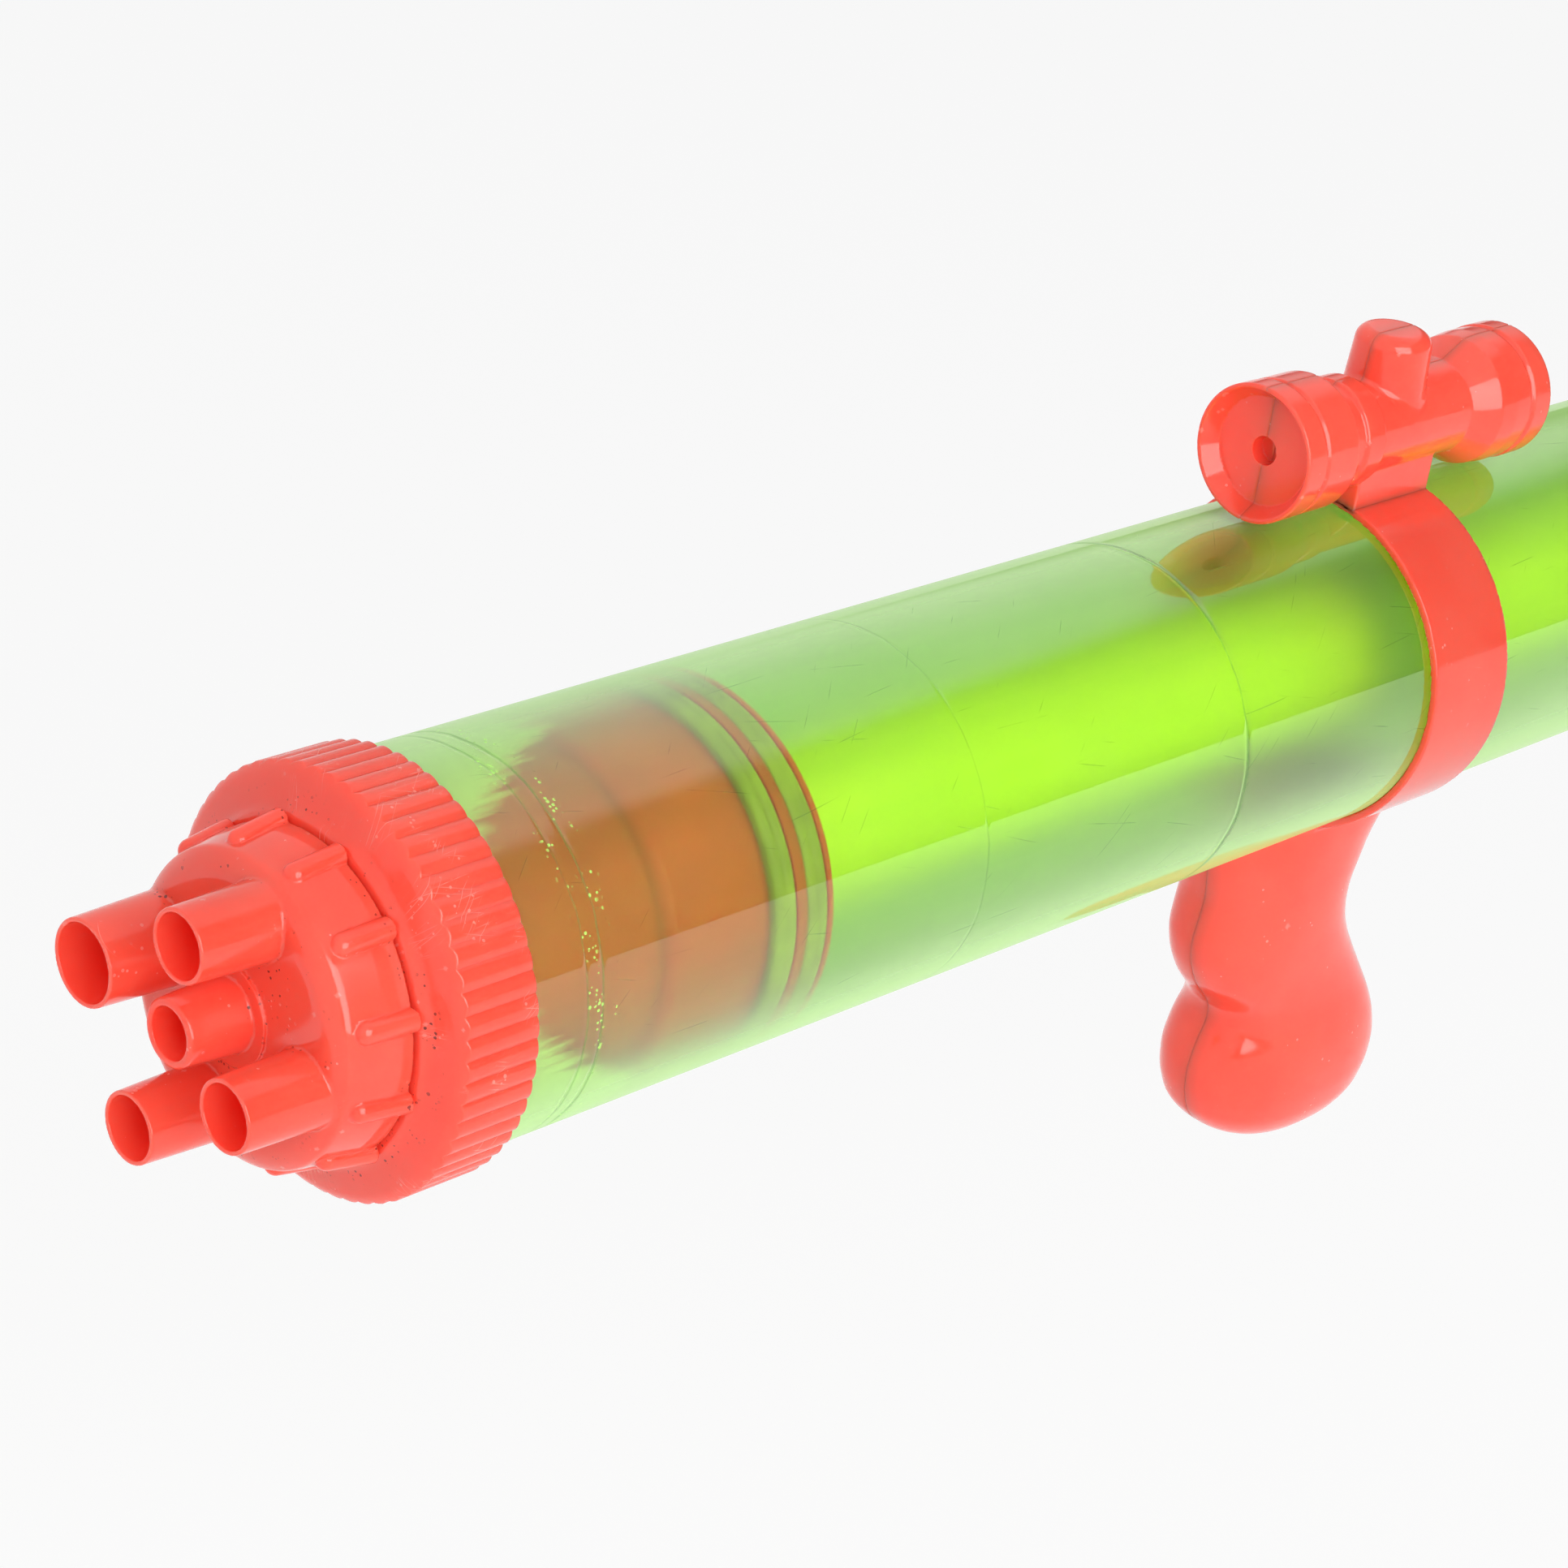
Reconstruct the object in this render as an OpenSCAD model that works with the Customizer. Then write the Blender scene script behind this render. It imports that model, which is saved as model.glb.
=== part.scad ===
// Pump water squirter: clear barrel, screw-on nozzle cap with five outlets,
// piston on a pull-out plunger tube, clamp ring with a sight scope and a pistol grip.
// X runs along the barrel from the muzzle to the rear, Z is up.
// The origin is the centre of the middle nozzle's mouth.

/* [Barrel] */
// Outside diameter of the barrel tube
barrel_d = 65; // [56:0.5:80]
// Wall of the barrel tube
barrel_wall = 1.5; // [1.2:0.1:2.5]
// Length of the barrel tube
barrel_len = 440; // [370:5:540]

/* [Nozzle cap] */
// Diameter of the ribbed drum at its front edge
drum_d = 50.8; // [46:0.2:62]
// Growth of the drum's radius from front edge to rear rim
drum_draft = 1.6; // [0.5:0.1:2.5]
// Length of the drum from its front face to its rear rim
drum_len = 13.2; // [12:0.2:20]
// Rounding of the drum's front edge
drum_round = 3.6; // [1:0.1:4]
// Wall of the drum and thickness of its face
drum_wall = 2.5; // [1.8:0.1:3.5]
// Number of grip ribs on the drum
rib_count = 12; // [6:1:24]
// Radius of a grip rib
rib_r = 1.8; // [1:0.1:2.4]
// Height of a grip rib above the drum
rib_rise = 1.1; // [0.5:0.1:1.6]
// Length of the outlet tubes from the drum's face
outlet_len = 14.3; // [8:0.1:24]
// Bore radius of the three narrow outlets
outlet_bore_r = 5.1; // [3:0.1:6]
// Bore radius of the wide outlet
wide_bore_r = 6.3; // [3:0.1:7]
// Wall of an outlet tube at its mouth
outlet_wall = 0.75; // [0.6:0.05:1.5]
// Growth of an outlet's outside radius from mouth to foot
outlet_taper = 0.5; // [0:0.1:1]
// Distance of the outlet centres from the drum's front edge
outlet_inset = 7.4; // [6.5:0.1:10]
// Turn of the outlets and ribs about the barrel's axis
outlet_phase = 13; // [0:1:29]
// Length of the centre nozzle from the drum's face
nozzle_len = 11.4; // [6:0.1:20]
// Bore radius of the centre nozzle
nozzle_bore_r = 4.2; // [2.5:0.1:5]
// Wall of the centre nozzle at its mouth
nozzle_wall = 1.3; // [0.8:0.1:2]
// Growth of the centre nozzle's outside radius from mouth to foot
nozzle_taper = 0.7; // [0:0.1:1]
// Depth of the centre nozzle's bore
nozzle_bore_len = 8; // [4:0.5:12]
// Radius of the jet holes in the floors of the nozzles
jet_r = 2.2; // [1:0.1:2.4]
// Radius of the raised disc round the centre nozzle
boss_r = 8.5; // [7:0.1:9]
// Height of the raised disc
boss_rise = 0.4; // [0.2:0.1:1]

/* [Collar and rear cap] */
// Length of the collar along the barrel
collar_len = 16.8; // [14:0.2:26]
// Wall of the collar outside the barrel, to the crests of its flutes
collar_wall = 2.4; // [1.8:0.1:4]
// Depth of the collar's sloped face
collar_slope = 2.6; // [1.5:0.1:4]
// Number of flutes on the collar and the rear cap
flute_count = 60; // [36:1:80]
// Radius of a flute's rounded crest
flute_r = 3; // [2.5:0.1:5]
// Wall of the threaded neck under the nozzle cap
neck_wall = 2.6; // [1.8:0.1:4]
// Thickness of the front gaskets
gasket_t = 1.5; // [1:0.1:3]
// Length of the rear cap over the barrel
rear_skirt = 16; // [12:0.5:26]
// Thickness of the rear cap's end wall
rear_wall = 8; // [4:0.5:14]
// Length of the guide sleeve inside the rear cap
guide_len = 14; // [6:0.5:24]

/* [Piston and plunger] */
// Length of the piston nose
nose_len = 41; // [25:0.5:60]
// Length of the piston body behind its nose
piston_len = 34; // [30:0.5:50]
// Width of a seal
seal_w = 4.8; // [3:0.1:6]
// Radial depth of a seal
seal_t = 3; // [2:0.1:4]
// Thickness of the piston's rear flange
rear_flange_t = 1; // [0.8:0.1:2]
// Thickness of the flange between the seals
mid_flange_t = 2.2; // [1:0.1:4]
// Step of the piston's radius in front of the seals, from the barrel wall
piston_step = 1.9; // [1:0.1:3]
// Step of the nose's radius, from the barrel wall
nose_step = 4.2; // [3.5:0.1:7]
// Wall of the piston nose
nose_wall = 2; // [1.5:0.1:3]
// Outside diameter of the plunger tube
plunger_d = 32; // [26:0.5:36]
// Wall of the plunger tube
plunger_wall = 1.8; // [1.2:0.1:2.6]
// Radius of the swivel journal
swivel_r = 6; // [4:0.1:8]
// Thickness of the piston's hub
hub_t = 8; // [5:0.5:12]

/* [Mount] */
// Distance from the collar's rear rim to the clamp ring
ring_at = 225; // [150:1:280]
// Width of the clamp ring along the barrel
ring_w = 23; // [16:0.5:32]
// Wall of the clamp ring
ring_wall = 1.6; // [1.4:0.1:4]
// Width of the post across the barrel
post_w = 14; // [10:0.5:18]
// Height of the scope's axis above the barrel
scope_rise = 14.4; // [13:0.1:24]
// Radius of the scope's bells
bell_r = 13.1; // [11:0.1:13.6]
// Radius of the scope's tube
sight_r = 9.3; // [8:0.1:10]
// Length of the scope ahead of the ring's middle
scope_front = 37.6; // [32:0.1:50]
// Length of the scope behind the ring's middle
scope_rear = 38.6; // [32:0.1:50]
// Radius of the sight holes
sight_hole_r = 2.7; // [1.5:0.1:4]
// Radius of the turret at its foot
turret_r = 8; // [6:0.1:9]
// Height of the turret above the scope's axis
turret_h = 18.4; // [15:0.1:26]
// Wall of the grip
grip_wall = 2.4; // [1.8:0.1:3.5]

/* [Handle] */
// Gap between the rear cap and the handle when the plunger is in
handle_gap = 6; // [3:0.5:20]
// Length of the handle's socket
socket_len = 30; // [20:0.5:45]
// Wall of the handle's socket
socket_wall = 3; // [2.4:0.1:5]
// Height of the hand hole
hand_h = 78; // [66:1:100]
// Depth of the hand hole
hand_d = 34; // [28:0.5:50]
// Thickness of the handle's bars in side view
bar_t = 17; // [13:0.5:24]
// Width of the handle across the barrel
bar_w = 22; // [18:0.5:30]

/* [Hidden] */
$fn = 96;

// Clearances
fit = 0.05;
slide_gap = 0.1;
free_gap = 0.3;
over = 1;

// Small details
collar_face_t = 1.8;
nose_gap = 2;
spigot_len = 8;
hub_inset = 8;
plug_flange_t = 2.7;
washer_t = 1.2;
guide_wall = 3;
bar_lap = 0.6;
reach = 30;

// Colours
red = [1, 0.36, 0.3];
pale_green = [0.68, 0.87, 0.58, 0.5];
lime = [0.66, 0.88, 0.16];
olive = [0.55, 0.5, 0.27];
dark = [0.25, 0.25, 0.24];
steel = [0.7, 0.7, 0.72];

// Stations along the barrel
face_x = nozzle_len;
mouth_x = face_x - outlet_len;
cap_rear_x = face_x + drum_len;
cap_floor_x = face_x + drum_wall;
neck_x = cap_floor_x + gasket_t;
collar_x = cap_rear_x + free_gap;
collar_rear_x = collar_x + collar_len;
collar_floor_x = collar_x + collar_slope + collar_face_t;
barrel_x = collar_floor_x + gasket_t;
barrel_rear_x = barrel_x + barrel_len;
nose_x = barrel_x + nose_gap;
body_x = nose_x + nose_len;
piston_rear_x = body_x + piston_len;
rear_seal_x = piston_rear_x - rear_flange_t - seal_w;
front_seal_x = rear_seal_x - mid_flange_t - seal_w;
hub_x = body_x + hub_inset;
hub_rear_x = hub_x + hub_t;
plunger_x = hub_rear_x + free_gap + plug_flange_t;
rear_cap_x = barrel_rear_x - rear_skirt;
rear_face_x = barrel_rear_x + rear_wall;
handle_x = rear_face_x + handle_gap;
plunger_rear_x = handle_x + socket_len;
ring_x = collar_rear_x + ring_at;
ring_mid_x = ring_x + ring_w/2;
hole_x = plunger_rear_x + bar_lap*bar_t;
handle_rear_x = hole_x + hand_d + bar_t;

// Radii
barrel_r = barrel_d/2;
bore_r = barrel_r - barrel_wall;
drum_r = drum_d/2;
drum_rear_r = drum_r + drum_draft;
drum_slope = drum_draft/(drum_len - drum_round);
pitch_r = drum_r - outlet_inset;
cap_bore_r = drum_r - drum_wall;
neck_r = cap_bore_r - free_gap;
collar_r = barrel_r + collar_wall;
flange_r = bore_r - free_gap;
seal_r = bore_r - slide_gap;
seal_seat_r = seal_r - seal_t;
piston_r = bore_r - piston_step;
nose_r = bore_r - nose_step;
spigot_r = nose_r - nose_wall - fit;
plunger_r = plunger_d/2;
plug_r = plunger_r - plunger_wall - fit;
ring_r = barrel_r + ring_wall;
scope_z = barrel_r + scope_rise;
outlet_bores = [wide_bore_r, outlet_bore_r, outlet_bore_r, outlet_bore_r];

// Screws
screw_r = 1.4;
screw_head_r = 2.7;
screw_head_t = 2;
screw_slot = 0.7;
boss_wall = 2.4;

// Screw places of the mount: [x from the ring's middle, z, head seat y, tip y]
mount_screw_places = [
    [0, barrel_r + 4.7, 4.4, -5],
    [-2, -barrel_r - 22, 7, -9],
    [9, -barrel_r - 60, 8, -10]];

// Screw places of the handle: [x, z, head seat y, tip y]
bar_mid_z = hand_h/2 + bar_t/2;
handle_screw_places = [
    [hole_x + hand_d/2, bar_mid_z, bar_w/4, -bar_w/3],
    [hole_x + hand_d/2, -bar_mid_z, bar_w/4, -bar_w/3],
    [hole_x + hand_d + bar_t/2, 0, bar_w/4, -bar_w/3]];

// Grip sections: [drop below the barrel, shift from the ring's middle, half depth, half width]
grip_sections = [
    [-6, -0.4, 25.6, 15], [1.5, -1, 23.7, 14.5], [7.5, -2.8, 22.4, 14], [17.5, -3.4, 19.9, 13.5],
    [22.5, -3.8, 20.4, 13.5], [27.5, -3.4, 21.5, 13.5], [32.5, -1.3, 22.1, 13.5],
    [37.5, 2, 22.4, 13.5], [43.5, 7, 21.6, 13.8], [47.5, 8.8, 22.6, 14.6],
    [52.5, 9.1, 25.1, 15.8], [58, 9.4, 26.7, 16.4], [63.5, 9.8, 26.4, 16.2],
    [69, 10.3, 24.6, 15], [73, 11, 21.2, 12.8], [76.4, 11.8, 15.8, 9.5], [78.6, 12.4, 9, 5.5]];
grip_bulge = 2.3;

// Points of a rounded flute edge, all the way round
function flute_edge(r, count, crest) = [
    for (i = [0 : 4*count - 1])
        let (a = 360*i/(4*count), p = abs((i % 4)/4 - 0.5)*360/count, c = r - crest)
        (c*cos(p) + sqrt(crest*crest - pow(c*sin(p), 2)))*[cos(a), sin(a)]];

// Points of an arc in profile, from angle a to angle b
function arc(cx, cy, r, a, b, steps = 6) = [
    for (i = [0 : steps])
        let (t = a + (b - a)*i/steps)
        [cx + r*cos(t), cy + r*sin(t)]];

// One point of a section whose sides are fuller than an ellipse's
function full_curve(v) = sign(v)*pow(abs(v), 2/grip_bulge);

// Closed loop of a grip section, from angle 0 to span, drawn in by wall
function grip_loop(s, wall, span, steps) = [
    for (i = [0 : steps])
        let (t = span*i/steps)
        [ring_mid_x + s[1] + (s[2] - wall)*full_curve(cos(t)),
            (s[3] - wall)*full_curve(sin(t)), -barrel_r - s[0]]];

// Solid through loops of points, each with the same count
module loft(loops) {
    n = len(loops[0]);
    last = len(loops) - 1;
    points = [for (l = loops) each l];
    sides = [for (k = [0 : last - 1], i = [0 : n - 1])
        let (j = (i + 1) % n, a = k*n, b = k*n + n)
        each [[a + i, a + j, b + j], [a + i, b + j, b + i]]];
    first_cap = [for (i = [n - 1 : -1 : 0]) i];
    last_cap = [for (i = [0 : n - 1]) last*n + i];
    polyhedron(points, concat(sides, [first_cap, last_cap]), convexity = 6);
}

module turned(points) {
    rotate([0, 90, 0])
        rotate_extrude()
            polygon(points);
}

module rod(x, length, r, r2 = undef) {
    translate([x, 0, 0])
        rotate([0, 90, 0])
            cylinder(h = length, r1 = r, r2 = is_undef(r2) ? r : r2);
}

module tube(x, length, outer, inner) {
    difference() {
        rod(x, length, outer);
        rod(x - over, length + 2*over, inner);
    }
}

module fluted(x, length) {
    translate([x, 0, 0])
        rotate([0, 90, 0])
            linear_extrude(length)
                polygon(flute_edge(collar_r, flute_count, flute_r));
}

module across(x, z, y0, y1, r) {
    translate([x, min(y0, y1), z])
        rotate([-90, 0, 0])
            cylinder(h = abs(y1 - y0), r = r, $fn = 32);
}

module half_space(side) {
    big = 2000;
    translate([0, side*big/2, 0])
        cube(big, center = true);
}

module screw(x, z, seat, tip) {
    difference() {
        union() {
            across(x, z, seat, seat + screw_head_t, screw_head_r);
            across(x, z, tip, seat + screw_head_t/2, screw_r);
        }
        for (turn = [0, 90])
            translate([x, seat + screw_head_t, z])
                rotate([0, turn, 0])
                    cube([1.2*screw_head_r, screw_head_t, screw_slot], center = true);
    }
}

module barrel_tube() {
    color(pale_green)
        tube(barrel_x, barrel_len, barrel_r, bore_r);
}

module front_collar() {
    rim_r = drum_rear_r + free_gap;
    fillet = 1.5;
    edge = 1.3;
    slope_x = collar_x + collar_slope;
    color(red)
        difference() {
            union() {
                intersection() {
                    fluted(collar_x - over, collar_len + over);
                    turned([[0, collar_x], [rim_r, collar_x],
                        [rim_r + fillet, collar_x + 0.7*fillet],
                        [collar_r - edge, slope_x - edge/4], [collar_r - edge/3, slope_x + edge/3],
                        [collar_r + over, slope_x + 1.5*edge], [collar_r + over, collar_rear_x],
                        [0, collar_rear_x]]);
                }
                rod(neck_x, collar_floor_x - neck_x, neck_r);
            }
            rod(collar_floor_x, collar_len, barrel_r + fit);
            rod(neck_x - over, collar_len + drum_len, neck_r - neck_wall);
        }
}

module collar_gasket() {
    color(dark)
        tube(collar_floor_x, gasket_t, barrel_r, bore_r);
}

module drum_rib() {
    nose_at = face_x + drum_round + rib_r;
    translate([nose_at, 0, drum_r + drum_slope*rib_r + rib_rise - rib_r])
        rotate([0, 90 - atan(drum_slope), 0]) {
            cylinder(h = drum_len, r = rib_r, $fn = 32);
            sphere(rib_r, $fn = 32);
        }
}

module outlet(bore) {
    rod(mouth_x, outlet_len + over, bore + outlet_wall, bore + outlet_wall + outlet_taper);
}

module nozzle_cap() {
    mouth_r = nozzle_bore_r + nozzle_wall;
    color(red)
        difference() {
            union() {
                turned(concat([[0, face_x]],
                    arc(drum_r - drum_round, face_x + drum_round, drum_round, -90, 0),
                    [[drum_rear_r + drum_slope*over, cap_rear_x + over], [0, cap_rear_x + over]]));
                for (i = [0 : rib_count - 1])
                    rotate([outlet_phase - 90 + 360*i/rib_count, 0, 0])
                        drum_rib();
                for (i = [0 : 3])
                    rotate([outlet_phase + 90*i, 0, 0])
                        translate([0, pitch_r, 0])
                            outlet(outlet_bores[i]);
                rod(face_x - boss_rise, over, boss_r);
                rod(0, nozzle_len + over, mouth_r, mouth_r + nozzle_taper);
            }
            rod(cap_floor_x, 2*drum_len, cap_bore_r);
            rod(cap_rear_x, drum_len, drum_d);
            for (i = [0 : 3])
                rotate([outlet_phase + 90*i, 0, 0])
                    translate([0, pitch_r, 0]) {
                        rod(mouth_x - over, outlet_len + over, outlet_bores[i]);
                        rod(mouth_x, 2*outlet_len, jet_r);
                    }
            rod(-over, nozzle_bore_len + over, nozzle_bore_r);
            rod(0, 2*nozzle_len, jet_r);
        }
}

module nozzle_gasket() {
    color(dark)
        tube(cap_floor_x, gasket_t, cap_bore_r - fit, neck_r - neck_wall);
}

module piston_nose() {
    front_round = 5;
    draft = 0.8;
    face_t = 2*nose_wall;
    bore = nose_r - nose_wall;
    color(red)
        difference() {
            turned(concat([[0, nose_x]],
                arc(nose_r - draft - front_round, nose_x + front_round, front_round, -90, 0),
                [[nose_r, body_x], [0, body_x]]));
            rod(nose_x + face_t, nose_len - face_t, bore - 1.5*draft, bore);
            rod(body_x - spigot_len - over, spigot_len + 2*over, bore);
        }
}

module piston_body() {
    socket_r = plunger_r + 2;
    draft = 0.8;
    color(red)
        difference() {
            union() {
                turned([[0, body_x], [piston_r - draft, body_x], [piston_r, front_seal_x],
                    [seal_seat_r, front_seal_x], [seal_seat_r, front_seal_x + seal_w],
                    [flange_r, front_seal_x + seal_w], [flange_r, rear_seal_x],
                    [seal_seat_r, rear_seal_x], [seal_seat_r, rear_seal_x + seal_w],
                    [flange_r, rear_seal_x + seal_w], [flange_r, piston_rear_x],
                    [0, piston_rear_x]]);
                rod(body_x - spigot_len, spigot_len + over, spigot_r);
            }
            rod(body_x - spigot_len - over, spigot_len + hub_inset + over, spigot_r - nose_wall);
            rod(hub_x - over, hub_t + 2*over, swivel_r + fit);
            rod(hub_rear_x, piston_len, socket_r);
        }
}

module seal(x) {
    edge = 0.8;
    color(olive)
        turned([[seal_seat_r + fit, x + fit], [seal_r - edge, x + fit], [seal_r, x + edge],
            [seal_r, x + seal_w - edge], [seal_r - edge, x + seal_w - fit],
            [seal_seat_r + fit, x + seal_w - fit]]);
}

module piston_seal_front() {
    seal(front_seal_x);
}

module piston_seal_rear() {
    seal(rear_seal_x);
}

module plunger_tube() {
    color(lime)
        tube(plunger_x, plunger_rear_x - plunger_x, plunger_r, plunger_r - plunger_wall);
}

module plunger_plug() {
    plug_len = 24;
    plug_wall = 3;
    pilot_len = 8;
    color(red)
        difference() {
            union() {
                rod(hub_x - free_gap, hub_t + 2*free_gap + over, swivel_r);
                rod(hub_rear_x + free_gap, plug_flange_t, plunger_r);
                rod(plunger_x - over, plug_len, plug_r);
            }
            rod(hub_x - over, hub_t + pilot_len, screw_r + fit);
            rod(plunger_x + pilot_len, plug_len, plug_r - plug_wall);
        }
}

module swivel_washer() {
    washer_lip = 4;
    color(steel)
        tube(hub_x - free_gap - washer_t, washer_t, swivel_r + washer_lip, screw_r + fit);
}

module swivel_screw() {
    head_r = screw_head_r + 1;
    head_x = hub_x - free_gap - washer_t - screw_head_t;
    color(steel)
        difference() {
            union() {
                rod(head_x, screw_head_t, head_r);
                rod(head_x + over, hub_t + 2*screw_head_t, screw_r);
            }
            for (turn = [0, 90])
                translate([head_x, 0, 0])
                    rotate([turn, 0, 0])
                        cube([screw_head_t, 1.2*head_r, screw_slot], center = true);
        }
}

module rear_cap() {
    guide_r = plunger_r + free_gap;
    edge = 2;
    color(red)
        difference() {
            union() {
                difference() {
                    intersection() {
                        fluted(rear_cap_x, rear_skirt + rear_wall);
                        turned([[0, rear_cap_x], [collar_r + over, rear_cap_x],
                            [collar_r + over, rear_face_x - 1.3*edge],
                            [collar_r - 0.7*edge, rear_face_x - 0.3*edge],
                            [collar_r - 1.7*edge, rear_face_x], [0, rear_face_x]]);
                    }
                    rod(rear_cap_x - over, rear_skirt + over, barrel_r + fit);
                }
                rod(barrel_rear_x - guide_len, guide_len + over, guide_r + guide_wall);
            }
            rod(barrel_rear_x - guide_len - over, guide_len + rear_wall + 2*over, guide_r);
        }
}

// Ends of the scope and its small steps
scope_x = ring_mid_x - scope_front;
scope_rear_x = ring_mid_x + scope_rear;
scope_neck_r = sight_r + 0.7;
scope_wall = 2.2;
rim_len = 5.4;
rim_edge = 0.5;
bell_len = 15;
bell_cone = 3.5;
dish_depth = 3.4;
dish_lip = 0.8;
dish_floor_r = bell_r - 2.8;

// Outline of the scope from its front rim to its rear rim, as [radius, x]
function scope_outline() =
    let (f = scope_x, b = scope_rear_x, groove_r = bell_r - rim_edge, n = f + bell_len + bell_cone)
    [[groove_r, f], [bell_r, f + rim_edge], [bell_r, f + rim_len], [groove_r, f + rim_len + rim_edge],
        [bell_r - 0.1, f + rim_len + 2*rim_edge], [bell_r - 0.1, f + bell_len], [scope_neck_r, n],
        [scope_neck_r, n + 2.5], [scope_neck_r + 0.7, n + 2.8], [scope_neck_r + 0.7, n + 8],
        [sight_r, n + 8.4], [sight_r, b - bell_len - 6], [bell_r - 0.6, b - bell_len],
        [bell_r - 0.2, b - 11], [bell_r - 0.2, b - rim_len - 2*rim_edge],
        [groove_r, b - rim_len - rim_edge], [bell_r, b - rim_len], [bell_r, b - rim_edge],
        [groove_r, b]];

// Hollow of the scope between its two discs, as [radius, x]
function scope_hollow() =
    let (f = scope_x, b = scope_rear_x, r = bell_r - scope_wall, n = sight_r - scope_wall)
    [[0, f + dish_depth + scope_wall], [r, f + dish_depth + scope_wall], [r, f + bell_len - 1],
        [n, f + bell_len + bell_cone - 0.5], [n, b - bell_len - 5], [r - 0.6, b - bell_len + 1],
        [r - 0.6, b - dish_depth - scope_wall], [0, b - dish_depth - scope_wall]];

module turret() {
    foot_z = 4;
    top_round = 2.6;
    top_r = turret_r - 0.7;
    side_z = turret_h - top_round;
    translate([ring_mid_x, 0, scope_z])
        rotate_extrude()
            polygon(concat([[0, foot_z], [turret_r, foot_z]],
                arc(top_r - top_round, side_z, top_round, 0, 90), [[0, turret_h]]));
}

module scope() {
    skim = 0.01;
    difference() {
        union() {
            translate([0, 0, scope_z])
                turned(concat([[0, scope_x]], scope_outline(), [[0, scope_rear_x]]));
            turret();
        }
        translate([0, 0, scope_z]) {
            turned(scope_hollow());
            rod(scope_x - skim, dish_depth, bell_r - dish_lip, dish_floor_r);
            rod(scope_rear_x - dish_depth + skim, dish_depth, dish_floor_r, bell_r - dish_lip);
            rod(scope_x, scope_rear_x - scope_x, sight_hole_r);
        }
    }
}

module post() {
    sink = 4;
    difference() {
        translate([ring_x, -post_w/2, barrel_r - sink])
            cube([ring_w, post_w, scope_rise]);
        rod(ring_x - over, ring_w + 2*over, barrel_r + fit);
        translate([0, 0, scope_z])
            rod(ring_x - over, ring_w + 2*over, sight_r - 1);
    }
}

module grip_half(side) {
    steps = 14;
    cavity = [for (i = [2 : len(grip_sections) - 3]) grip_sections[i]];
    difference() {
        mirror([0, side < 0 ? 1 : 0, 0])
            loft([for (s = grip_sections) grip_loop(s, 0, 180, steps)]);
        difference() {
            loft([for (s = cavity) grip_loop(s, grip_wall, 360*(1 - 0.5/steps), 2*steps - 1)]);
            for (p = mount_screw_places)
                across(ring_mid_x + p[0], p[1], -reach, reach, screw_r + boss_wall);
        }
        rod(ring_mid_x - 2*reach, 4*reach, barrel_r + fit);
    }
}

module mount_half(side) {
    intersection() {
        union() {
            scope();
            post();
            tube(ring_x, ring_w, ring_r, barrel_r + fit);
        }
        half_space(side);
    }
    grip_half(side);
}

module mount_shell_right() {
    color(red)
        difference() {
            mount_half(1);
            for (p = mount_screw_places) {
                across(ring_mid_x + p[0], p[1], -over, p[2] + over, screw_r + fit);
                across(ring_mid_x + p[0], p[1], p[2], reach, screw_head_r + free_gap);
            }
        }
}

module mount_shell_left() {
    color(red)
        difference() {
            mount_half(-1);
            for (p = mount_screw_places)
                across(ring_mid_x + p[0], p[1], p[3] - screw_r/2, over, screw_r + fit);
        }
}

module mount_screws() {
    color(steel)
        for (p = mount_screw_places)
            screw(ring_mid_x + p[0], p[1], p[2], p[3]);
}

module rounded_plate(x0, x1, z0, z1, r) {
    translate([x0, z0 + r])
        square([x1 - x0, z1 - z0 - 2*r]);
    translate([x0 + r, z0])
        square([x1 - x0 - 2*r, z1 - z0]);
    for (x = [x0 + r, x1 - r], z = [z0 + r, z1 - r])
        translate([x, z])
            circle(r);
}

module handle_half(side) {
    outer_z = hand_h/2 + bar_t;
    corner = bar_t;
    intersection() {
        difference() {
            union() {
                rod(handle_x, socket_len + bar_t/2, plunger_r + socket_wall);
                translate([0, bar_w/2, 0])
                    rotate([90, 0, 0])
                        linear_extrude(bar_w)
                            difference() {
                                rounded_plate(hole_x - bar_t, handle_rear_x, -outer_z, outer_z, corner);
                                rounded_plate(hole_x, hole_x + hand_d, -hand_h/2, hand_h/2, corner/2);
                            }
            }
            rod(handle_x - over, socket_len + over, plunger_r + fit);
        }
        half_space(side);
    }
}

module handle_shell_right() {
    color(red)
        difference() {
            handle_half(1);
            for (p = handle_screw_places) {
                across(p[0], p[1], -over, p[2] + over, screw_r + fit);
                across(p[0], p[1], p[2], reach, screw_head_r + free_gap);
            }
        }
}

module handle_shell_left() {
    color(red)
        difference() {
            handle_half(-1);
            for (p = handle_screw_places)
                across(p[0], p[1], p[3] - screw_r/2, over, screw_r + fit);
        }
}

module handle_screws() {
    color(steel)
        for (p = handle_screw_places)
            screw(p[0], p[1], p[2], p[3]);
}

barrel_tube();
front_collar();
collar_gasket();
nozzle_cap();
nozzle_gasket();
piston_nose();
piston_body();
piston_seal_front();
piston_seal_rear();
plunger_tube();
plunger_plug();
swivel_washer();
swivel_screw();
rear_cap();
mount_shell_right();
mount_shell_left();
mount_screws();
handle_shell_right();
handle_shell_left();
handle_screws();
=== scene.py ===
import math

import bpy
import numpy as np
from mathutils import Matrix, Vector


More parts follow.
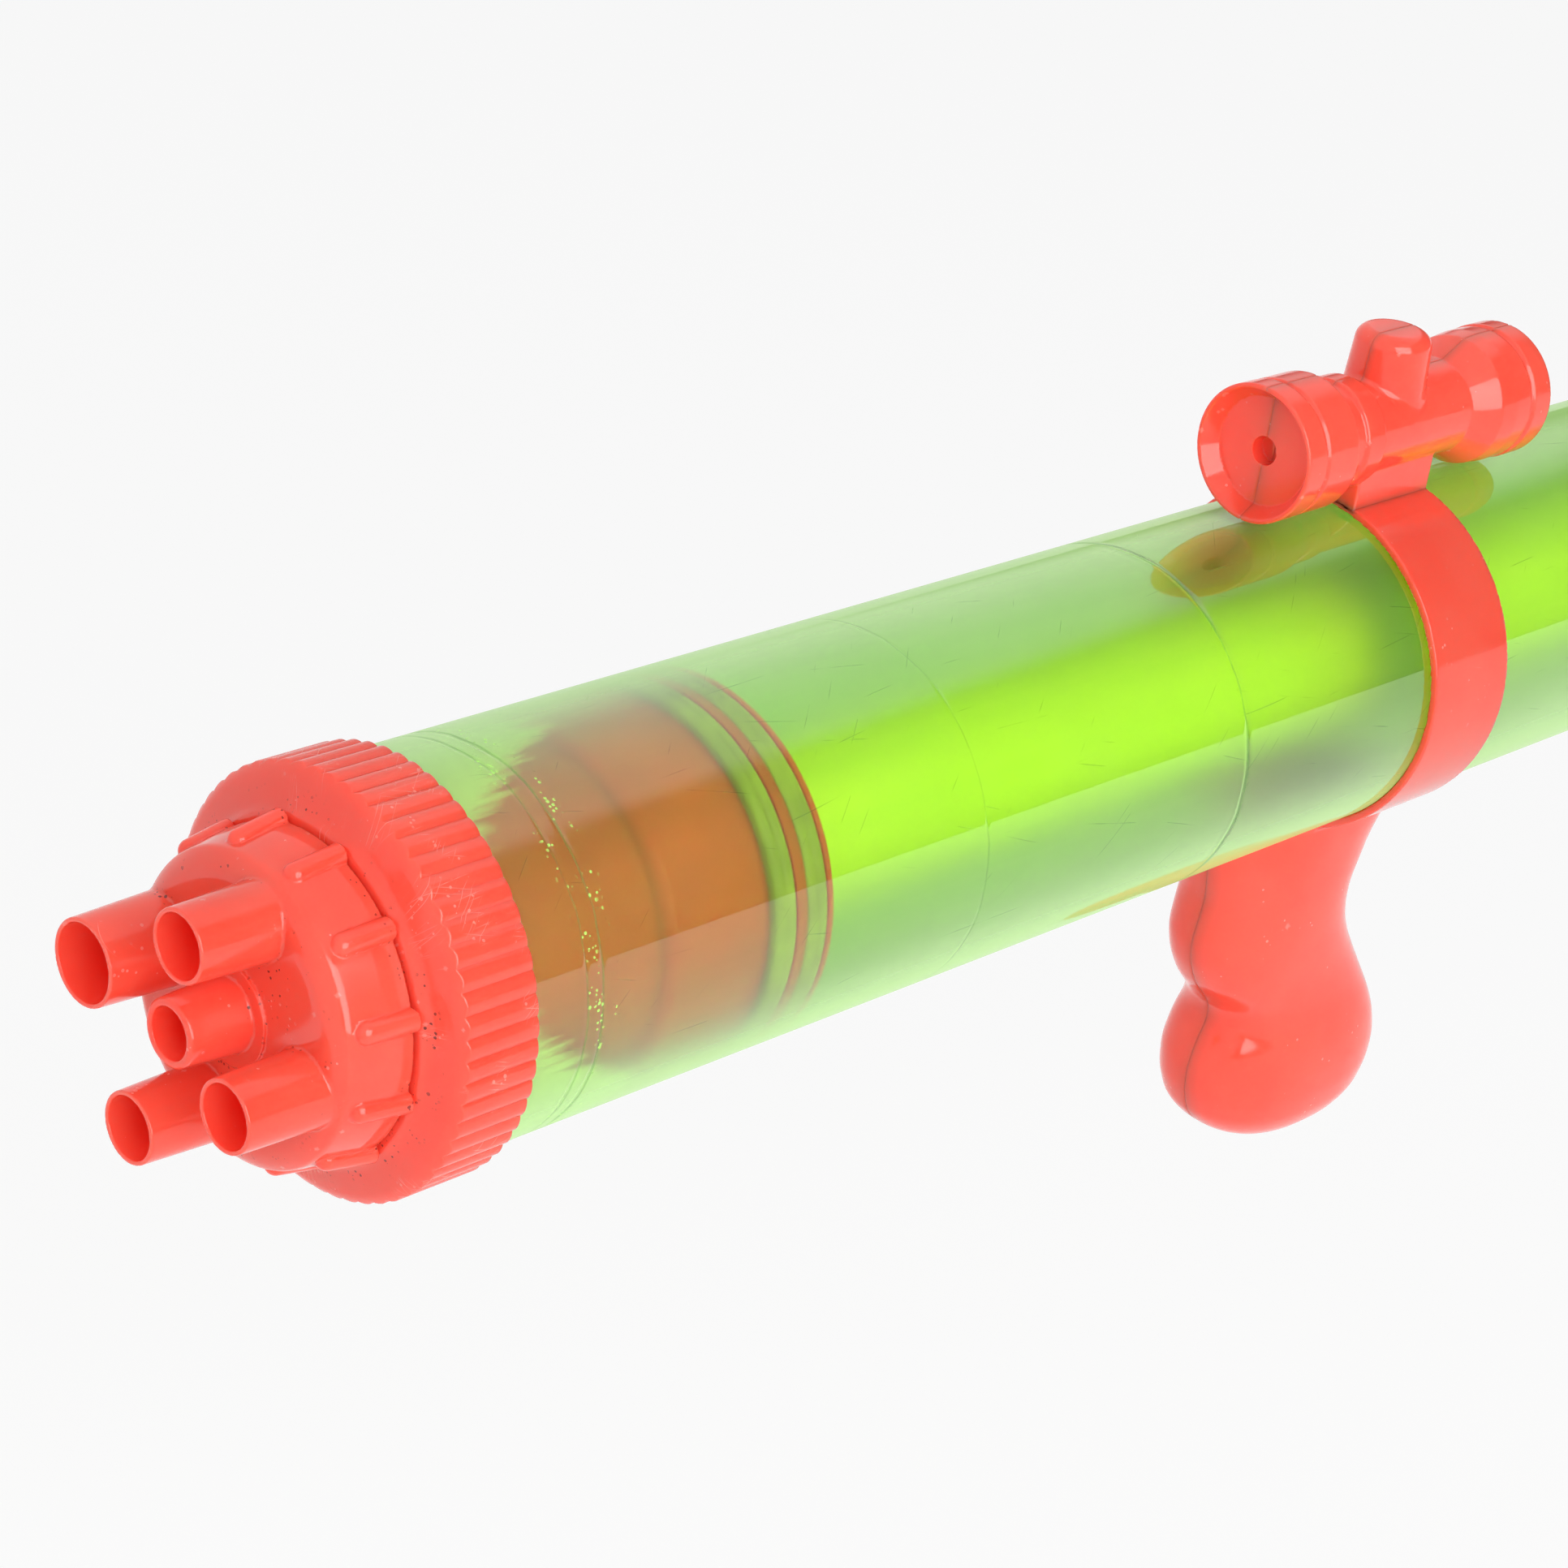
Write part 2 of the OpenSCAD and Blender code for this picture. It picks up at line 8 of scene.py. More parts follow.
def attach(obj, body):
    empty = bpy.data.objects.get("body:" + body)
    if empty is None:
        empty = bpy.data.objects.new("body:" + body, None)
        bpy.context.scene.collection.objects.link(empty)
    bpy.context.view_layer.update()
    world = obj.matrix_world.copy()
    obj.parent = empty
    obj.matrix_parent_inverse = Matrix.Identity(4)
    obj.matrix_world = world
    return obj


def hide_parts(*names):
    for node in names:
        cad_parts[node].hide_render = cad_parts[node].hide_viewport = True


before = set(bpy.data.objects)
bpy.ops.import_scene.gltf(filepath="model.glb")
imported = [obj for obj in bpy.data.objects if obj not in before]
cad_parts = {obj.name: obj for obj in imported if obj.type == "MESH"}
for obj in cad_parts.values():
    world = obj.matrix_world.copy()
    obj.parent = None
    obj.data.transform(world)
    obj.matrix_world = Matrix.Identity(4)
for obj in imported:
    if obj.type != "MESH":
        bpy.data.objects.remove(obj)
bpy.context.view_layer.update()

# Shapes are drawn in millimetres and scaled once, when a mesh is made.
MM = 0.001
RED, LIME, OLIVE, CLEAR = "red_plastic", "lime_plastic", "olive_rubber", "clear_green"

# Nozzle cap: the ribbed drum, then the centre nozzle, the outlets and the holes in them
FACE_X, CAP_FLOOR_X, CAP_REAR_X = 11.4, 13.9, 24.6
DRUM_R, DRUM_R_X, DRUM_DRAFT = 25.4, 15.0, 1 / 6
SHOULDER_X, SHOULDER_R, SHOULDER_ROUND = 17.4, 20.5, 6.0
RIBS, RIB_R, RIB_NOSE_X, RIB_NOSE_R = 12, 1.9, 16.6, 25.3
STEP_R, STEP_HEIGHT = 8.5, 0.4
CENTRE_R, CENTRE_TAPER = 5.5, 0.7 / 12.4
CENTRE_BORE_R, CENTRE_BORE_DEPTH = 4.2, 8.0
MOUTH_X, PITCH_R, OUTLET_PHASE = -2.9, 18.0, math.radians(13)
OUTLET_BORES, OUTLET_WALL, OUTLET_TAPER = (6.3, 5.1, 5.1, 5.1), 0.75, 0.5 / 15.3
ROOT_X, JET_R, NECK_BORE_R = 13.0, 2.2, 22.9

# Barrel, fluted rings at its ends, and the plunger tube
BARREL_X, BARREL_REAR_X, BARREL_R, BORE_R = 30.8, 470.8, 32.5, 31.0
COLLAR_R, FLUTES, FLUTE_CREST, FLUTED_FROM_R = 34.9, 60, 3.0, 33.2
# Outside rows start above the flutes, which then set their radius.
OVER_FLUTES_R = 36.0
PLUNGER_X, PLUNGER_REAR_X, PLUNGER_R, PLUNGER_BORE_R = 92.8, 514.8, 16.0, 14.2

# Mount shells: clamp ring, scope and grip
RING_X, RING_REAR_X, RING_MID_X = 266.7, 289.7, 278.2
RING_R, RING_BORE_R = 34.1, 32.55
SCOPE_X, SCOPE_REAR_X, SCOPE_Z = 240.6, 316.8, 46.9
TURRET_R, TURRET_TAPER, TURRET_TAPER_Z, TURRET_TOP = 8.0, 0.7 / 11.8, 4.0, 18.4
DISH_R, DISH_SLOPE, DISH_DEPTH = 12.3, 0.59, 3.4
SIGHT_R, SIGHT_FLOOR = 2.7, 31.6
TURRET_ROOT, SCOPE_CLEAR_R = 3.0, 33.0
POST_HALF_WIDTH, GRIP_TOP_Z, GRIP_FOOT_Z = 7.0, -20.0, -111.1
SCREW_RECESS_R = 3.0
# Screws as (x, z, seat), the seat being the recess floor's distance from the parting face
MOUNT_SCREWS = ((278.2, 37.2, 4.4), (276.2, -54.5, 7.0), (287.2, -92.5, 8.0))
HANDLE_SCREWS = ((542.0, 47.5, 5.5), (542.0, -47.5, 5.5), (567.5, 0.0, 5.5))

# Pull handle: the plate, its hand hole and the socket for the plunger tube
HANDLE_MIDDLE, HANDLE_HALF, HANDLE_CORNER = (542.0, 0.0), (34.0, 56.0), 17.0
HAND_HOLE_HALF, HAND_HOLE_CORNER = (17.0, 39.0), 8.5
HANDLE_HALF_WIDTH, HANDLE_ROUND = 11.0, 7.4
SOCKET_X, SOCKET_END_X, SOCKET_R, SOCKET_BORE_R = 484.8, 524.0, 19.0, 16.05

# Mesh cell of each moulded piece
CAP_CELL, SCOPE_CELL, GRIP_CELL, HANDLE_CELL = 0.405, 0.36, 0.62, 0.8


def linear(red, green, blue):
    """A colour as given on screen, 0 to 255, turned into the shader's scale."""
    def one(value):
        value /= 255
        return value / 12.92 if value <= 0.04045 else ((value + 0.055) / 1.055) ** 2.4
    return (one(red), one(green), one(blue), 1.0)


# Coral plastic, its scuffs, the painted highlight on its edges and the dirt on it
CORAL, DEEP_CORAL = linear(255, 86, 68), linear(255, 78, 60)
SCUFF_AND_EDGE_HIGHLIGHT_PINK, DIRT = linear(255, 168, 156), linear(70, 22, 16)
PISTON_RED, DEEP_PISTON_RED = linear(197, 64, 15), linear(181, 53, 10)

# Tint of the clear tube's wall, and its haze, scratches, drops, painted sheen and glints, glow and
# lamp light
PALE_GREEN, MID_GREEN = linear(231, 251, 190), linear(223, 248, 178)
SCRATCH_GREEN, MARK_GREEN = linear(120, 175, 100), linear(92, 150, 76)
GRAZING_SHEEN_GREEN, DRY_GREEN = linear(184, 232, 140), linear(172, 210, 126)
GLINT_GREEN, WALL_GLOW = linear(176, 238, 116), linear(180, 255, 106)
OUTSIDE_LAMP_TINT, BORE_LAMP_TINT = linear(245, 251, 240), linear(243, 218, 202)

# Plunger tube, rubbers and plated screws
DEEP_LIME, PALE_LIME, WORN_LIME = linear(184, 192, 6), linear(193, 200, 14), linear(176, 184, 4)
OLIVE_LIGHT, OLIVE_DARK = linear(152, 141, 76), linear(130, 119, 57)
GASKET_LIGHT, GASKET_DARK = linear(74, 74, 72), linear(54, 54, 52)
PLATED_LIGHT, PLATED_DARK, PLATED_SCRATCH = (
    linear(206, 206, 208), linear(176, 176, 180), linear(120, 118, 116))


# Solids as distance fields: below zero inside, with true rounded edges and fillets

def joined(a, b, fillet):
    u, v = np.maximum(fillet - a, 0), np.maximum(fillet - b, 0)
    return np.maximum(np.minimum(a, b), fillet) - np.sqrt(u * u + v * v)


def common(a, b, edge):
    u, v = np.maximum(a + edge, 0), np.maximum(b + edge, 0)
    return np.minimum(np.maximum(a, b), -edge) + np.sqrt(u * u + v * v)


def cut(a, b, edge):
    return common(a, -b, edge)


def slab(value, low, high):
    return np.maximum(low - value, value - high)


def sloped(field, slope):
    """A field that is too steep because its wall leans, scaled back to true distance."""
    return field / math.hypot(1.0, slope)


def round_plate(x, z, centre, half, corner):
    dx = np.abs(x - centre[0]) - half[0] + corner
    dz = np.abs(z - centre[1]) - half[1] + corner
    out = np.hypot(np.maximum(dx, 0), np.maximum(dz, 0))
    return out + np.minimum(np.maximum(dx, dz), 0) - corner


def slope_of(solid, points, reach=0.02):
    slope = np.empty_like(points)
    for axis in range(3):
        ahead, behind = points.copy(), points.copy()
        ahead[:, axis] += reach
        behind[:, axis] -= reach
        slope[:, axis] = (solid(*ahead.T) - solid(*behind.T)) / (2 * reach)
    return slope


# Surface of a solid, meshed cell by cell

CELL_CORNERS = [(a, b, c) for a in (0, 1) for b in (0, 1) for c in (0, 1)]
SEAM_DEPTH, SEAM_TILT = 0.16, 0.6
SETTLING_STEPS = 4


def grid_axes(low, high, cell, side):
    axes = []
    for axis in range(3):
        start = low[axis] - 1.5 * cell
        if side and axis == 1:
            start = -0.5 * cell
        count = int(math.ceil((high[axis] + 1.5 * cell - start) / cell)) + 1
        axes.append((start + cell * np.arange(count)).astype(np.float32))
    return axes


def surface_cells(inside):
    """The cells that the surface passes through, and a grid of their numbers in that list."""
    nx, ny, nz = (size - 1 for size in inside.shape)
    count = sum(inside[a:a + nx, b:b + ny, c:c + nz].astype(np.int8) for a, b, c in CELL_CORNERS)
    active = (count > 0) & (count < 8)
    cells = np.argwhere(active)
    index = np.full(active.shape, -1, np.int32)
    index[active] = np.arange(len(cells))
    return cells, index


def corner_values(values, cells):
    return np.stack([values[cells[:, 0] + a, cells[:, 1] + b, cells[:, 2] + c]
                     for a, b, c in CELL_CORNERS], axis=1)


def crossing_points(values, cells):
    """Mean of the places where a cell's edges pass through the surface, in cells."""
    at = corner_values(values, cells).astype(float)
    total, hits = np.zeros((len(cells), 3)), np.zeros(len(cells))
    for i, first in enumerate(CELL_CORNERS):
        for j, second in enumerate(CELL_CORNERS):
            step = np.subtract(second, first)
            if j <= i or np.abs(step).sum() != 1:
                continue
            crosses = (at[:, i] < 0) != (at[:, j] < 0)
            gap = np.where(crosses, at[:, i] - at[:, j], 1.0)
            share = np.where(crosses, at[:, i] / gap, 0.0)
            total += crosses[:, None] * (np.array(first) + share[:, None] * step)
            hits += crosses
    return cells + total / hits[:, None]


def surface_quads(inside, index):
    """One quad for each grid edge that the surface crosses, through the four cells round it."""
    quads = []
    for axis in range(3):
        u, v = (axis + 1) % 3, (axis + 2) % 3
        first = np.take(inside, range(inside.shape[axis] - 1), axis)
        second = np.take(inside, range(1, inside.shape[axis]), axis)
        edges = np.argwhere(first != second)
        keep = (edges[:, u] > 0) & (edges[:, v] > 0)
        keep &= (edges[:, u] < index.shape[u]) & (edges[:, v] < index.shape[v])
        edges = edges[keep]
        ring = []
        for du, dv in ((1, 1), (0, 1), (0, 0), (1, 0)):
            at = edges.copy()
            at[:, u] -= du
            at[:, v] -= dv
            ring.append(index[at[:, 0], at[:, 1], at[:, 2]])
        ring = np.stack(ring, axis=1)
        inward = ~first[edges[:, 0], edges[:, 1], edges[:, 2]]
        ring[inward] = ring[inward][:, ::-1]
        quads.append(ring)
    return np.concatenate(quads)


def settled(solid, points, moves, rim, cell):
    """The points, moved along the slope onto the surface. Rim points stay in the parting plane
    and settle a seam's depth below the surface."""
    for _ in range(SETTLING_STEPS):
        at = points[moves]
        value = solid(*at.T) + SEAM_DEPTH * rim[moves]
        slope = slope_of(solid, at)
        slope[rim[moves], 1] = 0.0
        step = slope * (value / np.maximum((slope ** 2).sum(axis=1), 0.05))[:, None]
        length = np.maximum(np.linalg.norm(step, axis=1), 1e-9)
        step *= np.minimum(1.0, 0.5 * cell / length)[:, None]
        points[moves] = at - step
    return points


def unit(vectors):
    return vectors / np.maximum(np.linalg.norm(vectors, axis=1), 1e-9)[:, None]


def corner_normals(solid, points, quads, flat, rim, sign):
    normals = unit(slope_of(solid, points))
    normals[rim, 1] -= SEAM_TILT * sign
    normals = unit(normals)[quads]
    normals[flat[quads].all(axis=1)] = (0.0, -sign, 0.0)
    return normals.reshape(-1, 3)


def skin_of(solid, low, high, cell, side=0):
    """Points, quads and corner normals of a solid's surface. With side 1 or -1 only that half
    of y is kept, closed by a flat parting face with a fine seam."""
    sign = side or 1
    axes = grid_axes(low, high, cell, side)
    x, y, z = np.meshgrid(*axes, indexing="ij")
    free = solid(x, sign * y, z)
    values = np.maximum(free, -y) if side else free
    inside = values < 0
    cells, index = surface_cells(inside)
    origin = np.array([axis[0] for axis in axes], float)
    points = origin + crossing_points(values, cells) * cell
    points[:, 1] *= sign
    quads = surface_quads(inside, index)
    if side < 0:
        quads = quads[:, ::-1]
    flat = (cells[:, 1] == 0) if side else np.zeros(len(cells), bool)
    around = corner_values(free, cells)
    rim = flat & (around.min(axis=1) < 0) & (around.max(axis=1) > 0)
    points[flat, 1] = 0.0
    points = settled(solid, points, ~flat | rim, rim, cell)
    return points, quads, corner_normals(solid, points, quads, flat, rim, sign)


# Meshes

def quad_mesh(name, points, quads):
    mesh = bpy.data.meshes.new(name)
    mesh.vertices.add(len(points))
    mesh.vertices.foreach_set("co", (np.asarray(points) * MM).astype(np.float32).ravel())
    mesh.loops.add(4 * len(quads))
    mesh.loops.foreach_set("vertex_index", np.asarray(quads, np.int32).ravel())
    mesh.polygons.add(len(quads))
    mesh.polygons.foreach_set("loop_start", np.arange(0, 4 * len(quads), 4, dtype=np.int32))
    mesh.update(calc_edges=True)
    mesh.polygons.foreach_set("use_smooth", np.ones(len(quads), bool))
    return mesh


def moulded(name, parts, side=0):
    """Mesh of one or more solids, each given as (field, low corner, high corner, cell)."""
    points, quads, normals, start = [], [], [], 0
    for part in parts:
        part_points, part_quads, part_normals = skin_of(*part, side)
        points.append(part_points)
        quads.append(part_quads + start)
        normals.append(part_normals)
        start += len(part_points)
    mesh = quad_mesh(name, np.concatenate(points), np.concatenate(quads))
    mesh.normals_split_custom_set(np.concatenate(normals).tolist())
    return mesh


def eased(corners, steps):
    """Outline through (x, r, ease) corners, each turned over its ease in a smooth bend."""
    out = []
    for i, (x, r, ease) in enumerate(corners):
        here = np.array((x, r))
        before = np.array(corners[i - 1][:2])
        after = np.array(corners[(i + 1) % len(corners)][:2])
        if ease <= 0:
            out.append(here)
            continue
        back, ahead = before - here, after - here
        reach_back = min(ease, 0.49 * np.linalg.norm(back))
        reach_ahead = min(ease, 0.49 * np.linalg.norm(ahead))
        a = here + back / np.linalg.norm(back) * reach_back
        b = here + ahead / np.linalg.norm(ahead) * reach_ahead
        for k in range(steps + 1):
            s = k / steps
            out.append((1 - s) ** 2 * a + 2 * s * (1 - s) * here + s * s * b)
    return np.array(out)


SHARP_FROM = math.radians(38)


def turned(name, outline, columns, shape=None):
    """Mesh of a closed outline of (x, r) points turned about the barrel's axis."""
    outline = np.asarray(outline, float)
    ahead = np.roll(outline, -1, axis=0)
    if (outline[:, 0] * ahead[:, 1] - ahead[:, 0] * outline[:, 1]).sum() > 0:
        outline = outline[::-1]
    turn = 2 * math.pi * np.arange(columns) / columns
    x = np.repeat(outline[:, :1], columns, axis=1)
    r = np.repeat(outline[:, 1:], columns, axis=1)
    if shape:
        x, r = shape(x, r, turn[None, :])
    points = np.stack([x, r * np.cos(turn), r * np.sin(turn)], axis=2).reshape(-1, 3)
    rows = len(outline)
    i, j = np.meshgrid(np.arange(rows), np.arange(columns), indexing="ij")
    i2, j2 = (i + 1) % rows, (j + 1) % columns
    quads = np.stack([i * columns + j, i * columns + j2, i2 * columns + j2, i2 * columns + j], axis=2)
    mesh = quad_mesh(name, points, quads.reshape(-1, 4))
    mesh.set_sharp_from_angle(angle=SHARP_FROM)
    return mesh


# Nozzle cap

def ribbed_drum(x, r, turn):
    side = sloped(r - DRUM_R - DRUM_DRAFT * (x - DRUM_R_X), DRUM_DRAFT)
    shoulder = np.hypot(np.minimum(x - SHOULDER_X, 0), np.maximum(r - SHOULDER_R, 0)) - SHOULDER_ROUND
    drum = common(common(side, FACE_X - x, 0.2), shoulder, 0.25)
    step = 2 * math.pi / RIBS
    fold = (turn + step / 2) % step - step / 2
    ahead, up, across = x - RIB_NOSE_X, r * np.cos(fold) - RIB_NOSE_R, r * np.sin(fold)
    lean = math.atan(DRUM_DRAFT)
    along = np.maximum(ahead * math.cos(lean) + up * math.sin(lean), 0)
    off_x, off_r = ahead - along * math.cos(lean), up - along * math.sin(lean)
    rib = np.sqrt(off_x ** 2 + off_r ** 2 + across ** 2) - RIB_R
    return joined(drum, rib, 0.22)


def nozzle_cap_solid(x, y, z):
    r, turn = np.hypot(y, z), np.arctan2(z, y) - OUTLET_PHASE
    body = ribbed_drum(x, r, turn)
    step = common(r - STEP_R, FACE_X - STEP_HEIGHT - x, 0.15)
    body = joined(body, np.maximum(step, x - ROOT_X), 0.15)
    centre = common(sloped(r - CENTRE_R - CENTRE_TAPER * x, CENTRE_TAPER), -x, 0.55)
    body = joined(body, np.maximum(centre, x - ROOT_X), 0.35)
    holes = np.minimum(np.maximum(r - CENTRE_BORE_R, x - CENTRE_BORE_DEPTH), r - JET_R)
    for i, bore in enumerate(OUTLET_BORES):
        angle = OUTLET_PHASE + i * math.pi / 2
        away = np.hypot(y - PITCH_R * math.cos(angle), z - PITCH_R * math.sin(angle))
        outside = away - bore - OUTLET_WALL - OUTLET_TAPER * (x - MOUTH_X)
        tube = np.maximum(common(outside, MOUTH_X - x, 0.3), x - ROOT_X)
        body = joined(body, tube, 0.45)
        hole = np.minimum(np.maximum(away - bore, x - FACE_X), away - JET_R)
        holes = np.minimum(holes, hole)
    holes = np.minimum(holes, np.maximum(r - NECK_BORE_R, CAP_FLOOR_X - x))
    return common(cut(body, holes, 0.3), x - CAP_REAR_X, 0.3)


def nozzle_cap_mesh():
    reach = 28.2
    box = (MOUTH_X, -reach, -reach), (CAP_REAR_X, reach, reach)
    return moulded("nozzle_cap", ((nozzle_cap_solid, *box, CAP_CELL),))


# Fluted rings at the barrel's ends

def flute_radius(turn):
    part = np.abs((turn / (2 * math.pi) * FLUTES) % 1 - 0.5) * 2 * math.pi / FLUTES
    c = COLLAR_R - FLUTE_CREST
    return c * np.cos(part) + np.sqrt(FLUTE_CREST ** 2 - (c * np.sin(part)) ** 2)


def fluted(x, r, turn):
    """Lets the flutes into every outside row, with a soft edge where they meet the slope."""
    soft = 0.12
    flute = flute_radius(turn) + 0 * r
    h = np.clip(0.5 + 0.5 * (flute - r) / soft, 0, 1)
    lower = flute * (1 - h) + r * h - soft * h * (1 - h)
    return x, np.where(r > FLUTED_FROM_R, lower, r)


def fluted_ring(name, corners):
    columns_per_flute = 12
    return turned(name, eased(corners, 6), columns_per_flute * FLUTES, fluted)


def front_collar_mesh():
    return fluted_ring("front_collar", [
        (15.4, 20.0, 0.3), (15.4, 22.6, 0.5), (24.9, 22.6, 0.1), (24.9, 27.4, 0.5),
        (25.9, 28.7, 1.2), (27.15, 33.5, 0.9), (28.0, 34.7, 0.7), (29.6, OVER_FLUTES_R, 0.1),
        (41.2, OVER_FLUTES_R, 0.1), (41.7, 34.6, 0.35), (41.7, RING_BORE_R, 0.15),
        (29.3, RING_BORE_R, 0.1), (29.3, 20.0, 0.1)])


def rear_cap_mesh():
    return fluted_ring("rear_cap", [
        (454.8, RING_BORE_R, 0.15), (454.8, 34.6, 0.35), (455.3, OVER_FLUTES_R, 0.1),
        (475.6, OVER_FLUTES_R, 0.1), (477.4, 34.0, 1.0), (478.8, 31.2, 1.0), (478.8, 24.6, 0.3),
        (478.2, 24.0, 0.3), (478.2, 21.2, 0.3), (478.8, 20.6, 0.3), (478.8, 16.3, 0.5),
        (456.8, 16.3, 0.4), (456.8, 19.3, 0.4), (BARREL_REAR_X, 19.3, 0.1),
        (BARREL_REAR_X, RING_BORE_R, 0.1)])


# Barrel, piston and plunger

# Ring marks on the barrel: place along it, depth and half width
RING_MARKS = ((53.6, 0.10, 0.30), (56.9, 0.13, 0.35), (143.5, 0.05, 0.3), (212.4, 0.16, 0.45))


def wandering_marks(x, r, turn):
    """Lets the ring marks wander a little along the barrel on their way round it."""
    shift = 0.35 * np.sin(3 * turn + 0.6) + 0.2 * np.sin(8 * turn) + 0.1 * np.sin(19 * turn + 1)
    near = sum(np.exp(-((x - mark[0]) / 1.2) ** 2) for mark in RING_MARKS)
    return x + np.where(r > BORE_R + 0.1, near, 0) * shift, r


def barrel_tube_mesh():
    """The clear tube, with its outside in material slot 0 and its bore in slot 1."""
    edge = 0.3
    outer = [(BARREL_X, BARREL_R - edge), (BARREL_X + edge, BARREL_R)]
    for x, depth, half in RING_MARKS:
        for steps, share in ((-3, 0), (-2, 0), (-1, 0.25), (0, 1), (1, 0.25), (2, 0), (3, 0)):
            outer.append((x + steps * half, BARREL_R - share * depth))
    outer += [(BARREL_REAR_X - edge, BARREL_R), (BARREL_REAR_X, BARREL_R - edge)]
    inner = [(BARREL_REAR_X, BORE_R), (BARREL_X, BORE_R)]
    mesh = turned("barrel_tube", outer + inner, 256, wandering_marks)
    centres = np.empty(3 * len(mesh.polygons))
    mesh.polygons.foreach_get("center", centres)
    from_axis = np.hypot(centres[1::3], centres[2::3]) / MM
    mesh.polygons.foreach_set("material_index", (from_axis < BORE_R + 0.1).astype(np.int32))
    return mesh


def piston_nose_mesh():
    corners = [(32.8, 0.4, 0), (32.8, 26.0, 5.0), (73.8, 26.8, 0.1), (73.8, 24.8, 0.2),
               (36.8, 23.6, 1.0), (36.8, 0.4, 0)]
    return turned("piston_nose", eased(corners, 8), 128)


def piston_body_mesh():
    corners = [(65.8, 22.75, 0.2), (65.8, 24.75, 0.3), (73.8, 24.75, 0.05), (73.8, 26.9, 0.1),
               (75.4, 28.3, 0.8), (95.0, 29.1, 0.2), (95.0, 27.9, 0.1), (99.8, 27.9, 0.1),
               (99.8, 30.7, 0.3), (102.0, 30.7, 0.3), (102.0, 27.9, 0.1), (106.8, 27.9, 0.1),
               (106.8, 30.7, 0.25), (107.8, 30.7, 0.25), (107.8, 18.0, 0.4), (89.8, 18.0, 0.1),
               (89.8, 6.05, 0.1), (81.8, 6.05, 0.1), (81.8, 22.75, 0.1)]
    return turned("piston_body", eased(corners, 4), 128)


def seal_mesh(name, x):
    corners = [(x + 0.05, 27.95, 0.1), (x + 0.05, 30.3, 0.5), (x + 0.9, 30.9, 0.5),
               (x + 1.9, 30.9, 0.3), (x + 2.4, 30.5, 0.3), (x + 2.9, 30.9, 0.3),
               (x + 3.9, 30.9, 0.5), (x + 4.75, 30.3, 0.5), (x + 4.75, 27.95, 0.1)]
    return turned(name, eased(corners, 4), 128)


def plunger_tube_mesh():
    corners = [(PLUNGER_X, PLUNGER_BORE_R, 0.2), (PLUNGER_X, PLUNGER_R, 0.3),
               (PLUNGER_REAR_X, PLUNGER_R, 0.3), (PLUNGER_REAR_X, PLUNGER_BORE_R, 0.2)]
    return turned("plunger_tube", eased(corners, 3), 128)


# Mount shells and handle shells

def soft_table(places, values, spacing, blur):
    """Even table of a broken line with its corners eased over blur."""
    x = np.arange(places[0] - 4 * blur, places[-1] + 4 * blur, spacing)
    line = np.interp(x, places, values)
    half = int(3 * blur / spacing)
    weights = np.exp(-0.5 * (np.arange(-half, half + 1) * spacing / blur) ** 2)
    padded = np.concatenate([np.full(half, line[0]), line, np.full(half, line[-1])])
    return x, np.convolve(padded, weights / weights.sum(), "valid")


def scope_outline():
    """Radius along the scope, as (r, x) corners from its front to its back."""
    f, b = SCOPE_X, SCOPE_REAR_X
    points = [(13.1, f), (13.1, f + 5.3), (12.5, f + 5.7), (12.5, f + 6.1), (13.0, f + 6.5),
              (13.0, f + 15), (10.0, f + 18.5), (10.0, f + 20.9), (10.7, f + 21.3), (10.7, f + 26.5),
              (9.3, f + 26.9), (9.3, b - 21), (12.5, b - 15), (12.9, b - 11), (12.9, b - 6.5),
              (12.45, b - 6.1), (12.45, b - 5.7), (13.1, b - 5.3), (13.1, b)]
    r, x = np.array(points).T
    return soft_table(x, r, 0.08, 0.2)


SCOPE_TABLE = scope_outline()


def screw_recesses(x, y, z, screws):
    return np.minimum.reduce([
        np.maximum(np.hypot(x - screw_x, z - screw_z) - SCREW_RECESS_R, seat - y)
        for screw_x, screw_z, seat in screws])


def scope_solid(x, y, z):
    r, from_barrel = np.hypot(y, z - SCOPE_Z), np.hypot(y, z)
    steepest = 0.9
    tube = (r - np.interp(x, *SCOPE_TABLE)) * steepest
    tube = common(tube, slab(x, SCOPE_X, SCOPE_REAR_X), 0.45)
    from_turret = np.hypot(x - RING_MID_X, y)
    narrowed = TURRET_TAPER * (z - SCOPE_Z - TURRET_TAPER_Z)
    turret = sloped(from_turret - TURRET_R + narrowed, TURRET_TAPER)
    turret = common(turret, z - SCOPE_Z - TURRET_TOP, 2.6)
    body = joined(tube, np.maximum(turret, SCOPE_Z + TURRET_ROOT - z), 0.9)
    post = common(slab(x, RING_X, RING_REAR_X), np.abs(y) - POST_HALF_WIDTH, 0.45)
    body = joined(body, np.maximum(post, z - SCOPE_Z), 0.35)
    for depth in (x - SCOPE_X, SCOPE_REAR_X - x):
        dish = np.maximum(r - DISH_R + DISH_SLOPE * depth, depth - DISH_DEPTH)
        body = cut(body, dish, 0.3)
    middle = 0.5 * (SCOPE_X + SCOPE_REAR_X)
    sight = np.maximum(r - SIGHT_R, SIGHT_FLOOR - np.abs(x - middle))
    body = cut(body, sight, 0.15)
    body = cut(body, from_barrel - SCOPE_CLEAR_R, 0.0)
    return cut(body, screw_recesses(x, y, z, MOUNT_SCREWS[:1]), 0.25)


